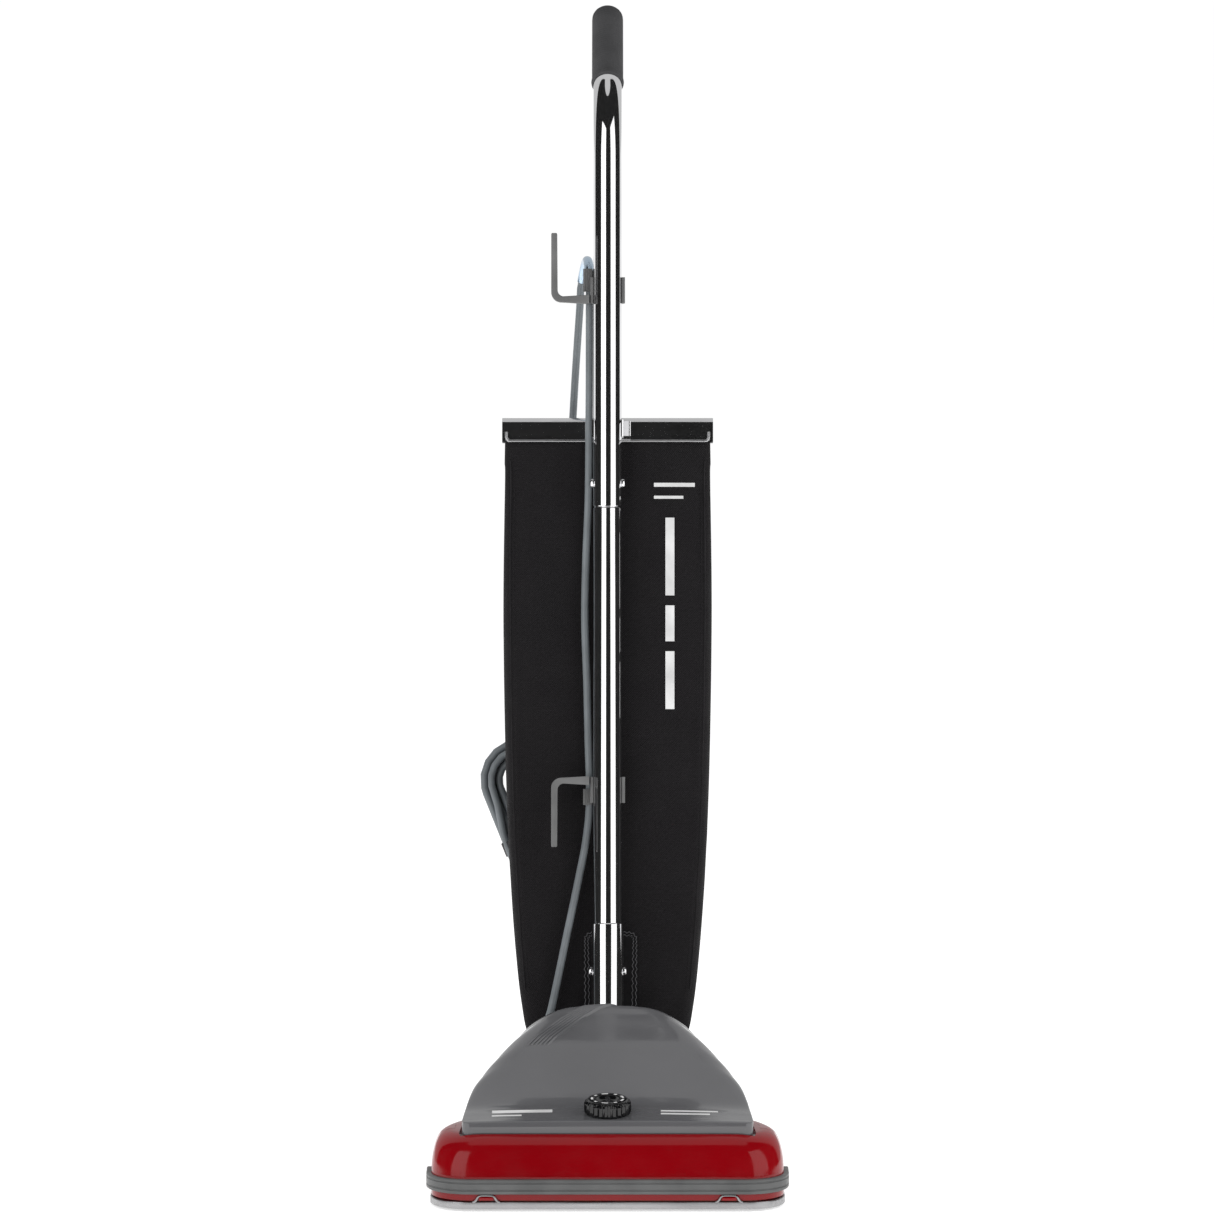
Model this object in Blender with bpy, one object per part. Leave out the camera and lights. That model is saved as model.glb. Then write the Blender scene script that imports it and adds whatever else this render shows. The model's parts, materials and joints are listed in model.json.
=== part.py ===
"""Commercial upright vacuum cleaner, built as an assembly of separate pieces.

Every size below is in millimetres; MM turns it into Blender's metres when a mesh is made.
The base is described in (x, d, z): x to the right, d backwards from the front of the bumper, z up
from the floor. The handle is described in (x, back, up): up runs along the tube from the pivot,
back is square to it, away from the user's side of the machine. Each moving piece hangs from an
empty on its joint's axis.
"""
import math

import bmesh
import bpy
import numpy as np
from mathutils import Vector
from mathutils.geometry import tessellate_polygon

MM = 0.001
GAP = 0.35                     # clearance between neighbouring pieces

# Overall layout
FRONT_Y = -259.555             # the bumper's front face, so that the origin is under the middle
HOUSING_HALF = 172.0           # half the red housing's width
BUMPER_HALF = 177.0
HOUSING_FRONT = 5.0
HOUSING_LOW, HOUSING_TOP = 10.8, 72.0
CORNER = 38.0                  # the housing's front corners in plan
WALL = 3.0
TAIL_HALF, TAIL_END, TAIL_TOP = 92.0, 300.0, 50.0

# Handle
PIVOT_D, PIVOT_Z = 240.0, 62.0
LEAN = 8.5                     # degrees back from plumb when parked
TUBE_R, TUBE_BORE = 14.3, 13.1           # 1 1/8 inch steel tube
SLEEVE_R = 15.9
SLEEVE_TOP = 180.0
TUBE_START, SEAM = 85.5, 596.0
LOWER_BOLT, UPPER_BOLT = 132.0, 620.0
BEND_START, BEND_R, BEND_ANGLE = 949.0, 103.0, 45.5
GRIP_LENGTH, GRIP_R = 112.0, 16.0
ARM_IN, ARM_OUT = 55.0, 62.0   # the bail's arms, left and right
PIVOT_R = 4.0                  # the handle's pivot pins, and the rear axles

# Wheels
REAR_D, REAR_R, REAR_X = 276.0, 38.0, (100.0, 122.0)
FRONT_D, FRONT_R, FRONT_X = 112.0, 13.0, (58.0, 70.0)
CARRIAGE_D, CARRIAGE_Z = 154.0, 20.5

# Brush roll, belt and motor
ROLL_D, ROLL_Z, ROLL_R, ROLL_HALF = 48.0, 28.0, 15.0, 146.0
BRISTLE_R = 22.0
GROOVE_R, BELT_ON_ROLL = 12.5, 13.9
MOTOR_Z = 66.0
PULLEY_D, PULLEY_R, BELT_ON_PULLEY = 48.0, 6.0, 7.4
BELT_WIDTH, BELT_THICK = 10.0, 2.0
SHAFT_R = 4.0
FAN_D = (124.0, 148.0)
STATOR_D, STATOR_R, STATOR_BORE = (150.0, 188.0), 38.0, 24.5

# Height knob on the hood
KNOB_D, KNOB_Z, KNOB_R, KNOB_TILT = 60.0, 86.8, 23.0, 6.5

# Dust bag, behind the tube
BAG_FRONT, BAG_DEPTH, BAG_TOP = 20.0, 60.0, 676.0
COLLAR_BACK = 44.0

# Power cord and its hank
CORD_R = 3.8
CLIP_X, CLIP_BACK = -18.2, 8.0
LOWER_CLIP, UPPER_CLIP = 300.0, 800.0
LOOP_R = 30.0
HANK_TOP = (-87.0, 323.0)      # centre of the hank's upper round end, (x, up)
HANK_TILT, HANK_RUN = 22.0, 114.0
HANK_OUT, HANK_IN = 42.0, 19.2
HANK_BACK = (86.0, 132.0)

FINISHES = {
    "red_enamel": ((0.21, 0.002, 0.004), 0.18, 0.0),
    "grey_gloss": ((0.12, 0.12, 0.122), 0.15, 0.0),
    "grey_vinyl": ((0.10, 0.115, 0.115), 0.45, 0.0),
    "zinc_steel": ((0.55, 0.56, 0.56), 0.32, 1.0),
    "chrome": ((0.75, 0.75, 0.76), 0.08, 1.0),
    "grip_rubber": ((0.035, 0.035, 0.037), 0.7, 0.0),
    "bag_cloth": ((0.008, 0.008, 0.009), 0.85, 0.0),
    "hook_plastic": ((0.10, 0.10, 0.10), 0.45, 0.0),
    "knob_plastic": ((0.008, 0.008, 0.008), 0.2, 0.0),
    "wheel_rubber": ((0.02, 0.02, 0.02), 0.7, 0.0),
    "cord_rubber": ((0.14, 0.145, 0.15), 0.55, 0.0),
    "motor_steel": ((0.32, 0.32, 0.33), 0.4, 1.0),
    "cast_aluminium": ((0.6, 0.6, 0.61), 0.45, 1.0),
    "copper": ((0.6, 0.25, 0.1), 0.4, 1.0),
    "belt_rubber": ((0.015, 0.015, 0.015), 0.7, 0.0),
    "bristle": ((0.03, 0.03, 0.03), 0.8, 0.0),
    "beech": ((0.45, 0.28, 0.13), 0.6, 0.0),
    "carbon": ((0.02, 0.02, 0.02), 0.6, 0.0),
}


# ---- shapes: each returns (points, faces) in millimetres ----------------------------------------

def arc(centre, radius, start, end, count):
    """Points on an arc in degrees, both ends included."""
    angles = np.radians(np.linspace(start, end, count))
    return [(centre[0] + radius * math.cos(a), centre[1] + radius * math.sin(a)) for a in angles]


def circle(radius, count=24, centre=(0.0, 0.0)):
    return arc(centre, radius, 0.0, 360.0 - 360.0 / count, count)


def superellipse(half_x, half_y, power, count, centre=(0.0, 0.0)):
    """A rounded box in plan: power 2 is an ellipse, larger powers are squarer."""
    points = []
    for angle in np.radians(np.arange(count) * 360.0 / count):
        c, s = math.cos(angle), math.sin(angle)
        points.append((centre[0] + half_x * math.copysign(abs(c) ** (2.0 / power), c),
                       centre[1] + half_y * math.copysign(abs(s) ** (2.0 / power), s)))
    return points


def along(axis, flat, height):
    """Put a flat point and a height on an axis: X takes (y, z), Y takes (x, z), Z takes (x, y)."""
    a, b = flat
    return {"X": (height, a, b), "Y": (a, height, b), "Z": (a, b, height)}[axis]


def prism(outline, low, high, axis="Z", holes=()):
    """A flat outline, with holes, extruded from low to high."""
    loops = [list(outline)] + [list(hole) for hole in holes]
    flat = [point for loop in loops for point in loop]
    points = [along(axis, p, low) for p in flat] + [along(axis, p, high) for p in flat]
    total = len(flat)
    triangles = tessellate_polygon([[Vector((*p, 0.0)) for p in loop] for loop in loops])
    faces = [tuple(t) for t in triangles] + [tuple(i + total for i in t) for t in triangles]
    first = 0
    for loop in loops:
        count = len(loop)
        for i in range(count):
            a, b = first + i, first + (i + 1) % count
            faces.append((a, b, b + total, a + total))
        first += count
    return points, faces


def box(low, high):
    x, y = (low[0], high[0]), (low[1], high[1])
    outline = [(x[0], y[0]), (x[1], y[0]), (x[1], y[1]), (x[0], y[1])]
    return prism(outline, low[2], high[2])


def skin(rings, closed=False):
    """Join rings of equal length; the two end rings are capped, or joined when closed."""
    count = len(rings[0])
    points = [p for ring in rings for p in ring]
    faces = []
    spans = len(rings) if closed else len(rings) - 1
    for k in range(spans):
        here, there = k * count, ((k + 1) % len(rings)) * count
        for i in range(count):
            j = (i + 1) % count
            faces.append((here + i, here + j, there + j, there + i))
    if not closed:
        last = (len(rings) - 1) * count
        faces += [tuple(range(count)), tuple(range(last, last + count))]
    return points, faces


def lathe(profile, count=20, axis="Z", at=(0.0, 0.0, 0.0)):
    """Turn (radius, height) points about an axis. Open ends are capped; a loop is a ring."""
    ring_like = profile[0] == profile[-1]
    outline = profile[:-1] if ring_like else profile
    rings = [[along(axis, p, height) for p in circle(radius, count)] for radius, height in outline]
    return shift(skin(rings, closed=ring_like), at)


def ring_profile(outer, inner, low, high):
    return [(outer, low), (outer, high), (inner, high), (inner, low), (outer, low)]


def cylinder(radius, low, high, axis="Z", at=(0.0, 0.0, 0.0), count=16):
    return lathe([(radius, low), (radius, high)], count, axis, at)


def shift(solid, offset):
    points, faces = solid
    return [tuple(a + b for a, b in zip(p, offset)) for p in points], faces


def frames_on(path):
    """A square frame at each point of a path, carried along without twisting."""
    path = [Vector(p) for p in path]
    tangents = []
    for i in range(len(path)):
        before, after = path[max(i - 1, 0)], path[min(i + 1, len(path) - 1)]
        tangents.append((after - before).normalized())
    side = tangents[0].orthogonal().normalized()
    frames = []
    for tangent in tangents:
        side = (side - tangent * side.dot(tangent)).normalized()
        frames.append((side, tangent.cross(side)))
    return path, frames


def tube_rings(path, radius, count):
    """Circles square to a path; radius is one number or one for each point."""
    path, frames = frames_on(path)
    radii = [radius] * len(path) if isinstance(radius, (int, float)) else radius
    rings = []
    for point, (side, up), r in zip(path, frames, radii):
        rings.append([tuple(point + side * a + up * b) for a, b in circle(r, count)])
    return rings


def rod(path, radius, count=12):
    return skin(tube_rings(path, radius, count))


def pipe(path, radius, bore, count=18):
    """A hollow tube, open at both ends."""
    return skin(tube_rings(path, radius, count) + tube_rings(path, bore, count)[::-1], closed=True)


def smooth_route(points, step):
    """Points about a step apart on a smooth curve through the given ones (Catmull-Rom)."""
    given = [Vector(p) for p in points]
    given = [given[0] * 2 - given[1]] + given + [given[-1] * 2 - given[-2]]
    route = []
    for i in range(1, len(given) - 2):
        p0, p1, p2, p3 = given[i - 1:i + 3]
        pieces = max(1, round((p2 - p1).length / step))
        for k in range(pieces):
            t = k / pieces
            route.append(0.5 * ((2 * p1) + (p2 - p0) * t
                                + (2 * p0 - 5 * p1 + 4 * p2 - p3) * t ** 2
                                + (3 * p1 - p0 - 3 * p2 + p3) * t ** 3))
    return [tuple(p) for p in route] + [tuple(given[-2])]


# ---- Blender objects ---------------------------------------------------------------------------

def finish(name):
    """The Principled material of that name, made once."""
    if name in bpy.data.materials:
        return bpy.data.materials[name]
    colour, roughness, metallic = FINISHES[name]
    material = bpy.data.materials.new(name)
    material.use_nodes = True
    shader = material.node_tree.nodes["Principled BSDF"]
    shader.inputs["Base Color"].default_value = (*colour, 1.0)
    shader.inputs["Roughness"].default_value = roughness
    shader.inputs["Metallic"].default_value = metallic
    return material


def empty(name, at, parent=None, tilt=0.0):
    """A frame to hang pieces from; tilt turns it about X, in degrees."""
    thing = bpy.data.objects.new(name, None)
    thing.location = Vector(at) * MM
    thing.rotation_euler = (math.radians(tilt), 0.0, 0.0)
    thing.parent = parent
    bpy.context.collection.objects.link(thing)
    return thing


def solid_object(name, solid, parent):
    points, faces = solid
    mesh = bpy.data.meshes.new(name)
    mesh.from_pydata([Vector(p) * MM for p in points], [], faces)
    shape = bmesh.new()
    shape.from_mesh(mesh)
    bmesh.ops.recalc_face_normals(shape, faces=shape.faces)
    shape.to_mesh(mesh)
    shape.free()
    thing = bpy.data.objects.new(name, mesh)
    thing.parent = parent
    bpy.context.collection.objects.link(thing)
    return thing


def part(name, solid, material, parent):
    thing = solid_object(name, solid, parent)
    thing.data.materials.append(finish(material))
    thing.data.shade_smooth()
    thing.data.set_sharp_from_angle(angle=math.radians(35.0))
    return thing


def change(thing, operation, *solids):
    """Cut hidden helper solids from a piece, or weld them on."""
    for solid in solids:
        number = len(thing.modifiers)
        helper = solid_object(f"{thing.name}_helper_{number}", solid, thing.parent)
        helper.hide_render = True
        helper.display_type = "WIRE"
        step = thing.modifiers.new(f"{operation.lower()}_{number}", "BOOLEAN")
        step.operation = operation
        step.solver = "EXACT"
        step.object = helper


def cut(thing, *solids):
    change(thing, "DIFFERENCE", *solids)


def weld(thing, *solids):
    change(thing, "UNION", *solids)


def bevel(thing, width, segments=2, angle=40.0):
    step = thing.modifiers.new("bevel", "BEVEL")
    step.width = width * MM
    step.segments = segments
    step.limit_method = "ANGLE"
    step.angle_limit = math.radians(angle)


def cord_piece(name, route, parent):
    """A stretch of cord: a round curve with filled ends."""
    curve = bpy.data.curves.new(name, "CURVE")
    curve.dimensions = "3D"
    curve.bevel_depth = CORD_R * MM
    curve.bevel_resolution = 2
    curve.use_fill_caps = True
    curve.render_resolution_u = 0
    line = curve.splines.new("POLY")
    line.points.add(len(route) - 1)
    for point, place in zip(line.points, route):
        point.co = (*(Vector(place) * MM), 1.0)
    thing = bpy.data.objects.new(name, curve)
    thing.parent = parent
    thing.data.materials.append(finish("cord_rubber"))
    bpy.context.collection.objects.link(thing)
    return thing


# ---- base: housing, hood, bumper, sole plate ----------------------------------------------------

def mirrored(solid, side):
    """The same solid on the right (1) or on the left (-1)."""
    points, faces = solid
    return [(p[0] * side, p[1], p[2]) for p in points], faces


def housing_outline(half, front, end=TAIL_END):
    """The housing in plan: a wide nozzle with round front corners, narrowing to a tail."""
    inset = HOUSING_HALF - half
    tail = TAIL_HALF - inset
    narrowing = [(0.0, 72.0), (-4.0, 86.0), (-13.0, 103.0), (-30.0, 121.0), (-54.0, 139.0)]
    right = [(0.0, front), (half * 0.4, front)]
    right += arc((half - CORNER, front + CORNER), CORNER, -90.0, 0.0, 7)
    right += [(half + dx, d) for dx, d in narrowing]
    right += [(tail + 6.0, 160.0), (tail, 182.0), (tail, end - 10.0), (tail - 8.0, end)]
    right += [(0.0, end)]
    return right + [(-x, d) for x, d in right[-2:0:-1]]


def housing_ring(z, half, front, end=TAIL_END):
    return [(x, d, z) for x, d in housing_outline(half, front, end)]


def main_housing(base):
    outer = [(HOUSING_LOW, HOUSING_HALF, HOUSING_FRONT), (33.0, HOUSING_HALF, HOUSING_FRONT),
             (55.0, 169.0, 11.0), (66.0, 165.5, 18.5), (70.5, 160.0, 25.0),
             (HOUSING_TOP, 153.0, 32.0)]
    inner = [(5.0, 168.0, 8.0), (34.0, 168.0, 8.0), (54.0, 166.0, 14.0), (68.5, 157.0, 27.0)]
    shell = part("main_housing", skin([housing_ring(*level) for level in outer]), "red_enamel",
                 base)
    cavity_end = 224.0
    cavity = skin([housing_ring(*level, cavity_end) for level in inner])
    tail_inner = TAIL_HALF - WALL
    tail_cavity = box((-tail_inner, 150.0, 4.0), (tail_inner, TAIL_END - WALL, TAIL_TOP - WALL))
    above_tail = box((-200.0, 228.0, TAIL_TOP), (200.0, 320.0, 90.0))
    under_hood = prism(superellipse(112.0, 92.5, 5.0, 24, (0.0, 129.5)), 60.0, 80.0)
    duct_hole = cylinder(24.0, 40.0, 60.0, at=(0.0, 283.0, 0.0))
    cut(shell, cavity, tail_cavity, above_tail, under_hood, duct_hole)
    for side in (-1, 1):
        axle_hole = cylinder(PIVOT_R + GAP, 70.0, 100.0, "X", at=(0.0, REAR_D, REAR_R))
        guard_tab = box((GUARD_LOOP_X - 7.0, 1.5, 11.3), (GUARD_LOOP_X + 7.0, 7.0, 14.6))
        latch_at = (LATCH_X, LATCH_D, 0.0)
        cut(shell, mirrored(axle_hole, side))
        weld(shell, mirrored(guard_tab, side),
             mirrored(cylinder(6.0, HOUSING_LOW, 70.0, at=latch_at, count=16), side))
        cut(shell, mirrored(cylinder(3.3, 5.0, 27.0, at=latch_at, count=12), side))


# The hood's top edge and half width at distances behind the front, and its lower edge
HOOD_STATIONS = [33.0, 36.0, 60.0, 85.0, 110.0, 145.0, 172.0, 190.0, 204.0, 218.0, 228.5]
HOOD_TOPS = [79.0, 83.0, 86.5, 90.0, 104.0, 134.5, 159.0, 169.0, 166.0, 145.0, 116.0]
HOOD_HALVES = [139.0, 142.0, 141.0, 139.0, 136.0, 129.0, 118.0, 107.0, 103.0, 94.0, 86.0]
HOOD_EDGE, HOOD_WALL = 72.4, 2.6


def hood_section(d, inset=0.0, edge=HOOD_EDGE):
    """The hood's arched cross-section at d, closed along its lower edge."""
    top = float(np.interp(d, HOOD_STATIONS, HOOD_TOPS)) - inset
    half = float(np.interp(d, HOOD_STATIONS, HOOD_HALVES)) - inset
    power = 2.0 / float(np.interp(d, [60.0, 150.0], [6.5, 3.4]))
    points = []
    for angle in np.radians(np.linspace(180.0, 0.0, 19)):
        c, s = math.cos(angle), math.sin(angle)
        points.append((half * math.copysign(abs(c) ** power, c), edge + (top - edge) * s ** power))
    return points


def motor_hood(base):
    outer = [[(x, d, z) for x, z in hood_section(d)] for d in HOOD_STATIONS]
    ends = [35.8, 60.0, 85.0, 110.0, 145.0, 172.0, 190.0, 203.0, 216.0, 225.5]
    inner = [[(x, d, z) for x, z in hood_section(d, HOOD_WALL, HOOD_EDGE - 9.0)] for d in ends]
    hood = part("motor_hood", skin(outer), "grey_gloss", base)
    knob_hole = cylinder(5.4, 70.0, 100.0, at=(0.0, KNOB_D, 0.0))
    cable_notch = box((-66.0, 216.0, 60.0), (66.0, 240.0, 84.0))
    cut(hood, skin(inner), knob_hole, cable_notch)


def bumper_path(offset, z):
    """The bumper's line round the housing's front, offset outwards from its wall."""
    half, front = HOUSING_HALF + offset, HOUSING_FRONT - offset
    radius = CORNER + offset
    right = [(half * 0.4, front)]
    right += arc((half - radius, front + radius), radius, -90.0, 0.0, 7) + [(half, 70.0)]
    return [(-x, d, z) for x, d in right[::-1]] + [(x, d, z) for x, d in right]


def bumper_strip(base):
    """A soft strip with two long grooves; each profile point is (offset, z)."""
    inside, outside = 0.4, BUMPER_HALF - HOUSING_HALF
    profile = [(inside, 17.5), (outside - 1.2, 17.5), (outside, 19.0), (outside, 22.0),
               (outside - 0.8, 22.8), (outside, 23.6), (outside, 26.4), (outside - 0.8, 27.2),
               (outside, 28.0), (outside, 30.6), (outside - 1.2, 32.0), (inside, 32.0)]
    lines = [bumper_path(*point) for point in profile]
    part("bumper_strip", skin(list(zip(*lines))), "grey_vinyl", base)


GUARD_LOOP_X = 118.0
LATCH_X, LATCH_D = 120.0, 104.0


def nozzle_guard(base):
    """The steel sole plate, with the suction mouth and its cross bars."""
    low, high = 2.5, 9.8
    outline = [(-168.0, 92.0), (-172.0, 86.0), (-173.0, 40.0)]
    outline += arc((-137.0, 39.0), 36.0, 180.0, 270.0, 7)
    outline = outline + [(-x, d) for x, d in outline[::-1]]
    bars = [-152.0, -105.0, -45.0, 45.0, 105.0, 152.0]
    windows = []
    for left, right in zip(bars[:-1], bars[1:]):
        windows.append([(left + 1.5, 22.0), (right - 1.5, 22.0), (right - 1.5, 74.0),
                        (left + 1.5, 74.0)])
    plate = part("nozzle_guard", prism(outline, low, high, holes=windows), "zinc_steel", base)
    well = box((-153.5, 20.0, 5.4), (153.5, 76.0, 12.0))
    latch_step = box((-200.0, 83.0, 0.0), (200.0, 100.0, 6.9))
    cut(plate, well, latch_step)
    for side in (-1, 1):
        loop = box((GUARD_LOOP_X - 13.0, 2.6, 8.0), (GUARD_LOOP_X + 13.0, 4.4, 16.8))
        window = box((GUARD_LOOP_X - 8.5, 0.0, 10.6), (GUARD_LOOP_X + 8.5, 8.0, 15.0))
        weld(plate, mirrored(loop, side))
        cut(plate, mirrored(window, side))


def bottom_cover(base):
    """Closes the housing under the motor, behind the height carriage."""
    half, front, end = TAIL_HALF - WALL - GAP, 168.0, TAIL_END - WALL - GAP
    outline = [(-half, front), (half, front), (half, end), (-half, end)]
    part("bottom_cover", prism(outline, 12.0, 14.0), "zinc_steel", base)


def guard_latch(base, name, side):
    """A swivel latch under the plate's back edge, on a stud up into the housing."""
    pivot = empty(f"{name}_axis", (side * LATCH_X, LATCH_D, 0.0), base)
    tongue = [(-6.5, -17.0), (6.5, -17.0), (7.5, 0.0)] + arc((0.0, 0.0), 7.5, 20.0, 160.0, 6)
    tongue += [(-7.5, 0.0)]
    latch = part(name, prism(tongue, 3.6, 6.4), "zinc_steel", pivot)
    weld(latch, cylinder(3.0, 5.0, 24.0, count=12))


# ---- brush roll, belt and motor ------------------------------------------------------------------

def brush_roll(base):
    axis = empty("brush_roll_axis", (0.0, ROLL_D, ROLL_Z), base)
    stub, groove = 3.7, 6.6
    profile = [(stub, -ROLL_HALF - 9.0), (stub, -ROLL_HALF), (ROLL_R, -ROLL_HALF),
               (ROLL_R, -groove), (GROOVE_R, -groove), (GROOVE_R, groove), (ROLL_R, groove),
               (ROLL_R, ROLL_HALF), (stub, ROLL_HALF), (stub, ROLL_HALF + 9.0)]
    part("brush_roll", lathe(profile, 20, "X"), "beech", axis)
    for side, word in ((-1, "left"), (1, "right")):
        rings = []
        for x in np.linspace(22.0, ROLL_HALF - 5.0, 15):
            turn = math.radians(90.0 + side * (x - 22.0) * 2.6)
            out = Vector((0.0, math.cos(turn), math.sin(turn)))
            wide = Vector((0.0, -math.sin(turn), math.cos(turn))) * 2.0
            low, high = out * (ROLL_R + 1.3), out * BRISTLE_R
            middle = Vector((side * x, 0.0, 0.0))
            ring = (middle + low - wide, middle + high - wide, middle + high + wide,
                    middle + low + wide)
            rings.append([tuple(p) for p in ring])
        part(f"bristle_strip_{word}", skin(rings), "bristle", axis)


def roll_bearing(base, name, side):
    """The end cap that carries the roll's stub shaft."""
    outline = superellipse(17.0, 15.5, 4.0, 16, (ROLL_D, ROLL_Z))
    hole = circle(4.05, 12, (ROLL_D, ROLL_Z))
    cap = prism(outline, ROLL_HALF + 1.0, ROLL_HALF + 13.0, "X", [hole])
    part(name, mirrored(cap, side), "knob_plastic", base)


def drive_belt(base):
    """A flat belt with a quarter twist, from the roll under it to the motor pulley."""
    half = BELT_WIDTH / 2.0
    stations = []          # (centre, width direction, outward direction)
    leave_roll = 90.0 - math.degrees(math.acos(BELT_ON_ROLL / (MOTOR_Z - ROLL_Z)))
    leave_pulley = 90.0 - math.degrees(math.acos(BELT_ON_PULLEY / (MOTOR_Z - ROLL_Z)))
    for angle in np.radians(np.linspace(leave_roll, -180.0 - leave_roll, 11)):
        out = Vector((0.0, math.cos(angle), math.sin(angle)))
        centre = Vector((0.0, ROLL_D, ROLL_Z)) + out * BELT_ON_ROLL
        stations.append((centre, Vector((1.0, 0.0, 0.0)), out))
    turns = np.linspace(180.0 + leave_pulley, -leave_pulley, 9)
    stations += twisted_strand(stations[-1], pulley_station(turns[0]))
    stations += [pulley_station(turn) for turn in turns]
    stations += twisted_strand(stations[-1], stations[0])
    rings = []
    for centre, wide, out in stations:
        thick = out * (BELT_THICK / 2.0)
        corners = (centre - wide * half - thick, centre + wide * half - thick,
                   centre + wide * half + thick, centre - wide * half + thick)
        rings.append([tuple(p) for p in corners])
    part("drive_belt", skin(rings, closed=True), "belt_rubber", base)


def pulley_station(degrees):
    angle = math.radians(degrees)
    out = Vector((math.cos(angle), 0.0, math.sin(angle)))
    centre = Vector((0.0, PULLEY_D, MOTOR_Z)) + out * BELT_ON_PULLEY
    return centre, Vector((0.0, -1.0, 0.0)), out


def twisted_strand(start, end, count=5):
    """Stations between two ends; the belt's width swings through a right angle on the way."""
    (p0, wide0, _), (p1, wide1, _) = start, end
    run = (p1 - p0).normalized()
    stations = []
    for k in range(1, count + 1):
        t = k / (count + 1.0)
        swing = 0.5 * math.pi * t * t * (3.0 - 2.0 * t)
        wide = (wide0 * math.cos(swing) + wide1 * math.sin(swing)).normalized()
        wide = (wide - run * wide.dot(run)).normalized()
        stations.append((p0.lerp(p1, t), wide, wide.cross(run)))
    return stations


def motor(base):
    axis = empty("motor_axis", (0.0, 0.0, MOTOR_Z), base)
    armature_r = STATOR_BORE - 0.8
    part("motor_shaft", cylinder(SHAFT_R, 38.5, 212.0, "Y", count=16), "motor_steel", axis)
    sleeve = SHAFT_R + GAP
    pulley = [(sleeve, 39.0), (8.2, 39.0), (8.2, 39.8), (PULLEY_R, 39.8), (PULLEY_R, 56.4),
              (8.2, 56.4), (8.2, 57.4), (sleeve, 57.4), (sleeve, 39.0)]
    part("drive_pulley", lathe(pulley, 18, "Y"), "cast_aluminium", axis)
    suction_fan(axis, sleeve)
    armature = [(sleeve, 152.0), (armature_r, 152.0), (armature_r, 186.0), (13.0, 186.5),
                (13.0, 197.0), (sleeve, 197.0), (sleeve, 152.0)]
    part("motor_armature", lathe(armature, 24, "Y"), "copper", axis)
    low, high = STATOR_D
    stator = ring_profile(STATOR_R, STATOR_BORE, low, high)
    part("motor_stator", lathe(stator, 28, "Y"), "motor_steel", axis)
    bracket = prism(circle(34.0, 24), 200.0, 205.0, "Y", [circle(sleeve, 16)])
    rear_bracket = part("rear_bearing_bracket", bracket, "cast_aluminium", axis)
    weld(rear_bracket, box((-26.0, 200.0, 14.4 - MOTOR_Z), (26.0, 205.0, -20.0)),
         lathe(ring_profile(11.0, sleeve, 204.0, 209.0), 16, "Y"))
    for side, word in ((-1, "left"), (1, "right")):
        brush = box((13.4, 189.0, -3.5), (27.0, 195.0, 3.5))
        part(f"carbon_brush_{word}", mirrored(brush, side), "carbon", axis)


def suction_fan(axis, bore):
    """A back plate with six blades on its front."""
    plate = [(bore, 144.0), (35.0, 144.0), (35.0, 142.4), (9.0, 142.0), (9.0, 129.0),
             (bore, 129.0), (bore, 144.0)]
    fan = part("suction_fan", lathe(plate, 24, "Y"), "cast_aluminium", axis)
    blades, sweep, half_thick = 6, math.radians(28.0), 0.9
    for k in range(blades):
        turn = 2.0 * math.pi * k / blades
        root = Vector((7.5 * math.cos(turn), 7.5 * math.sin(turn)))
        tip = Vector((34.0 * math.cos(turn - sweep), 34.0 * math.sin(turn - sweep)))
        across = (tip - root).orthogonal().normalized() * half_thick
        outline = [tuple(p) for p in (root - across, tip - across, tip + across, root + across)]
        weld(fan, prism(outline, 130.0, 143.0, "Y"))


DUCT_X = 57.0


def snail(radius, reach, low, high):
    """The fan housing's outline: a drum with an outlet chamber on its right."""
    points = arc((0.0, 0.0), radius, 40.0, 320.0, 20)
    return points + [(reach, low), (reach, high)]


def fan_housing(base):
    """The volute: air enters by the eye in front, and leaves backwards into the duct."""
    axis = empty("fan_housing_axis", (0.0, 0.0, MOTOR_Z), base)
    front, back = FAN_D
    outer = prism(snail(41.0, 73.0, -22.0, 16.0), front, back, "Y")
    volute = part("fan_housing", outer, "cast_aluminium", axis)
    chamber = prism(snail(38.5, 70.5, -19.5, 13.5), front + 2.0, back - 2.0, "Y")
    eye = cylinder(15.0, 120.0, 130.0, "Y")
    shaft_hole = cylinder(SHAFT_R + 0.6, 140.0, 160.0, "Y", count=16)
    outlet = cylinder(11.2, 140.0, 160.0, "Y", at=(DUCT_X, 0.0, -4.0))
    cut(volute, chamber, eye, shaft_hole, outlet)


def bearing_bridge(base):
    """Carries the front bearing across the fan's eye."""
    axis = empty("bearing_bridge_axis", (0.0, 0.0, MOTOR_Z), base)
    bore = SHAFT_R + GAP
    bridge = prism(superellipse(30.0, 13.5, 4.0, 20), 118.0, 122.0, "Y", [circle(bore, 16)])
    bridge = part("bearing_bridge", bridge, "cast_aluminium", axis)
    weld(bridge, lathe(ring_profile(10.0, bore, 114.0, 119.0), 16, "Y"))


def exhaust_duct(base):
    """Takes the dirty air from the fan, past the motor and up to the bag's collar."""
    route = [(DUCT_X, 148.6, 62.0), (DUCT_X, 166.0, 62.0), (DUCT_X - 1.0, 184.0, 56.0),
             (50.0, 204.0, 41.5), (34.0, 221.0, 32.5), (16.0, 238.0, 31.0), (3.0, 252.0, 31.0)]
    bend = [(0.0, 263.0 + 20.0 * math.sin(a), 51.0 - 20.0 * math.cos(a))
            for a in np.radians(np.linspace(10.0, 84.0, 5))]
    path = smooth_route(route, 18.0) + bend
    part("exhaust_duct", pipe(path, 13.0, 11.2, 12), "knob_plastic", base)


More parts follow.
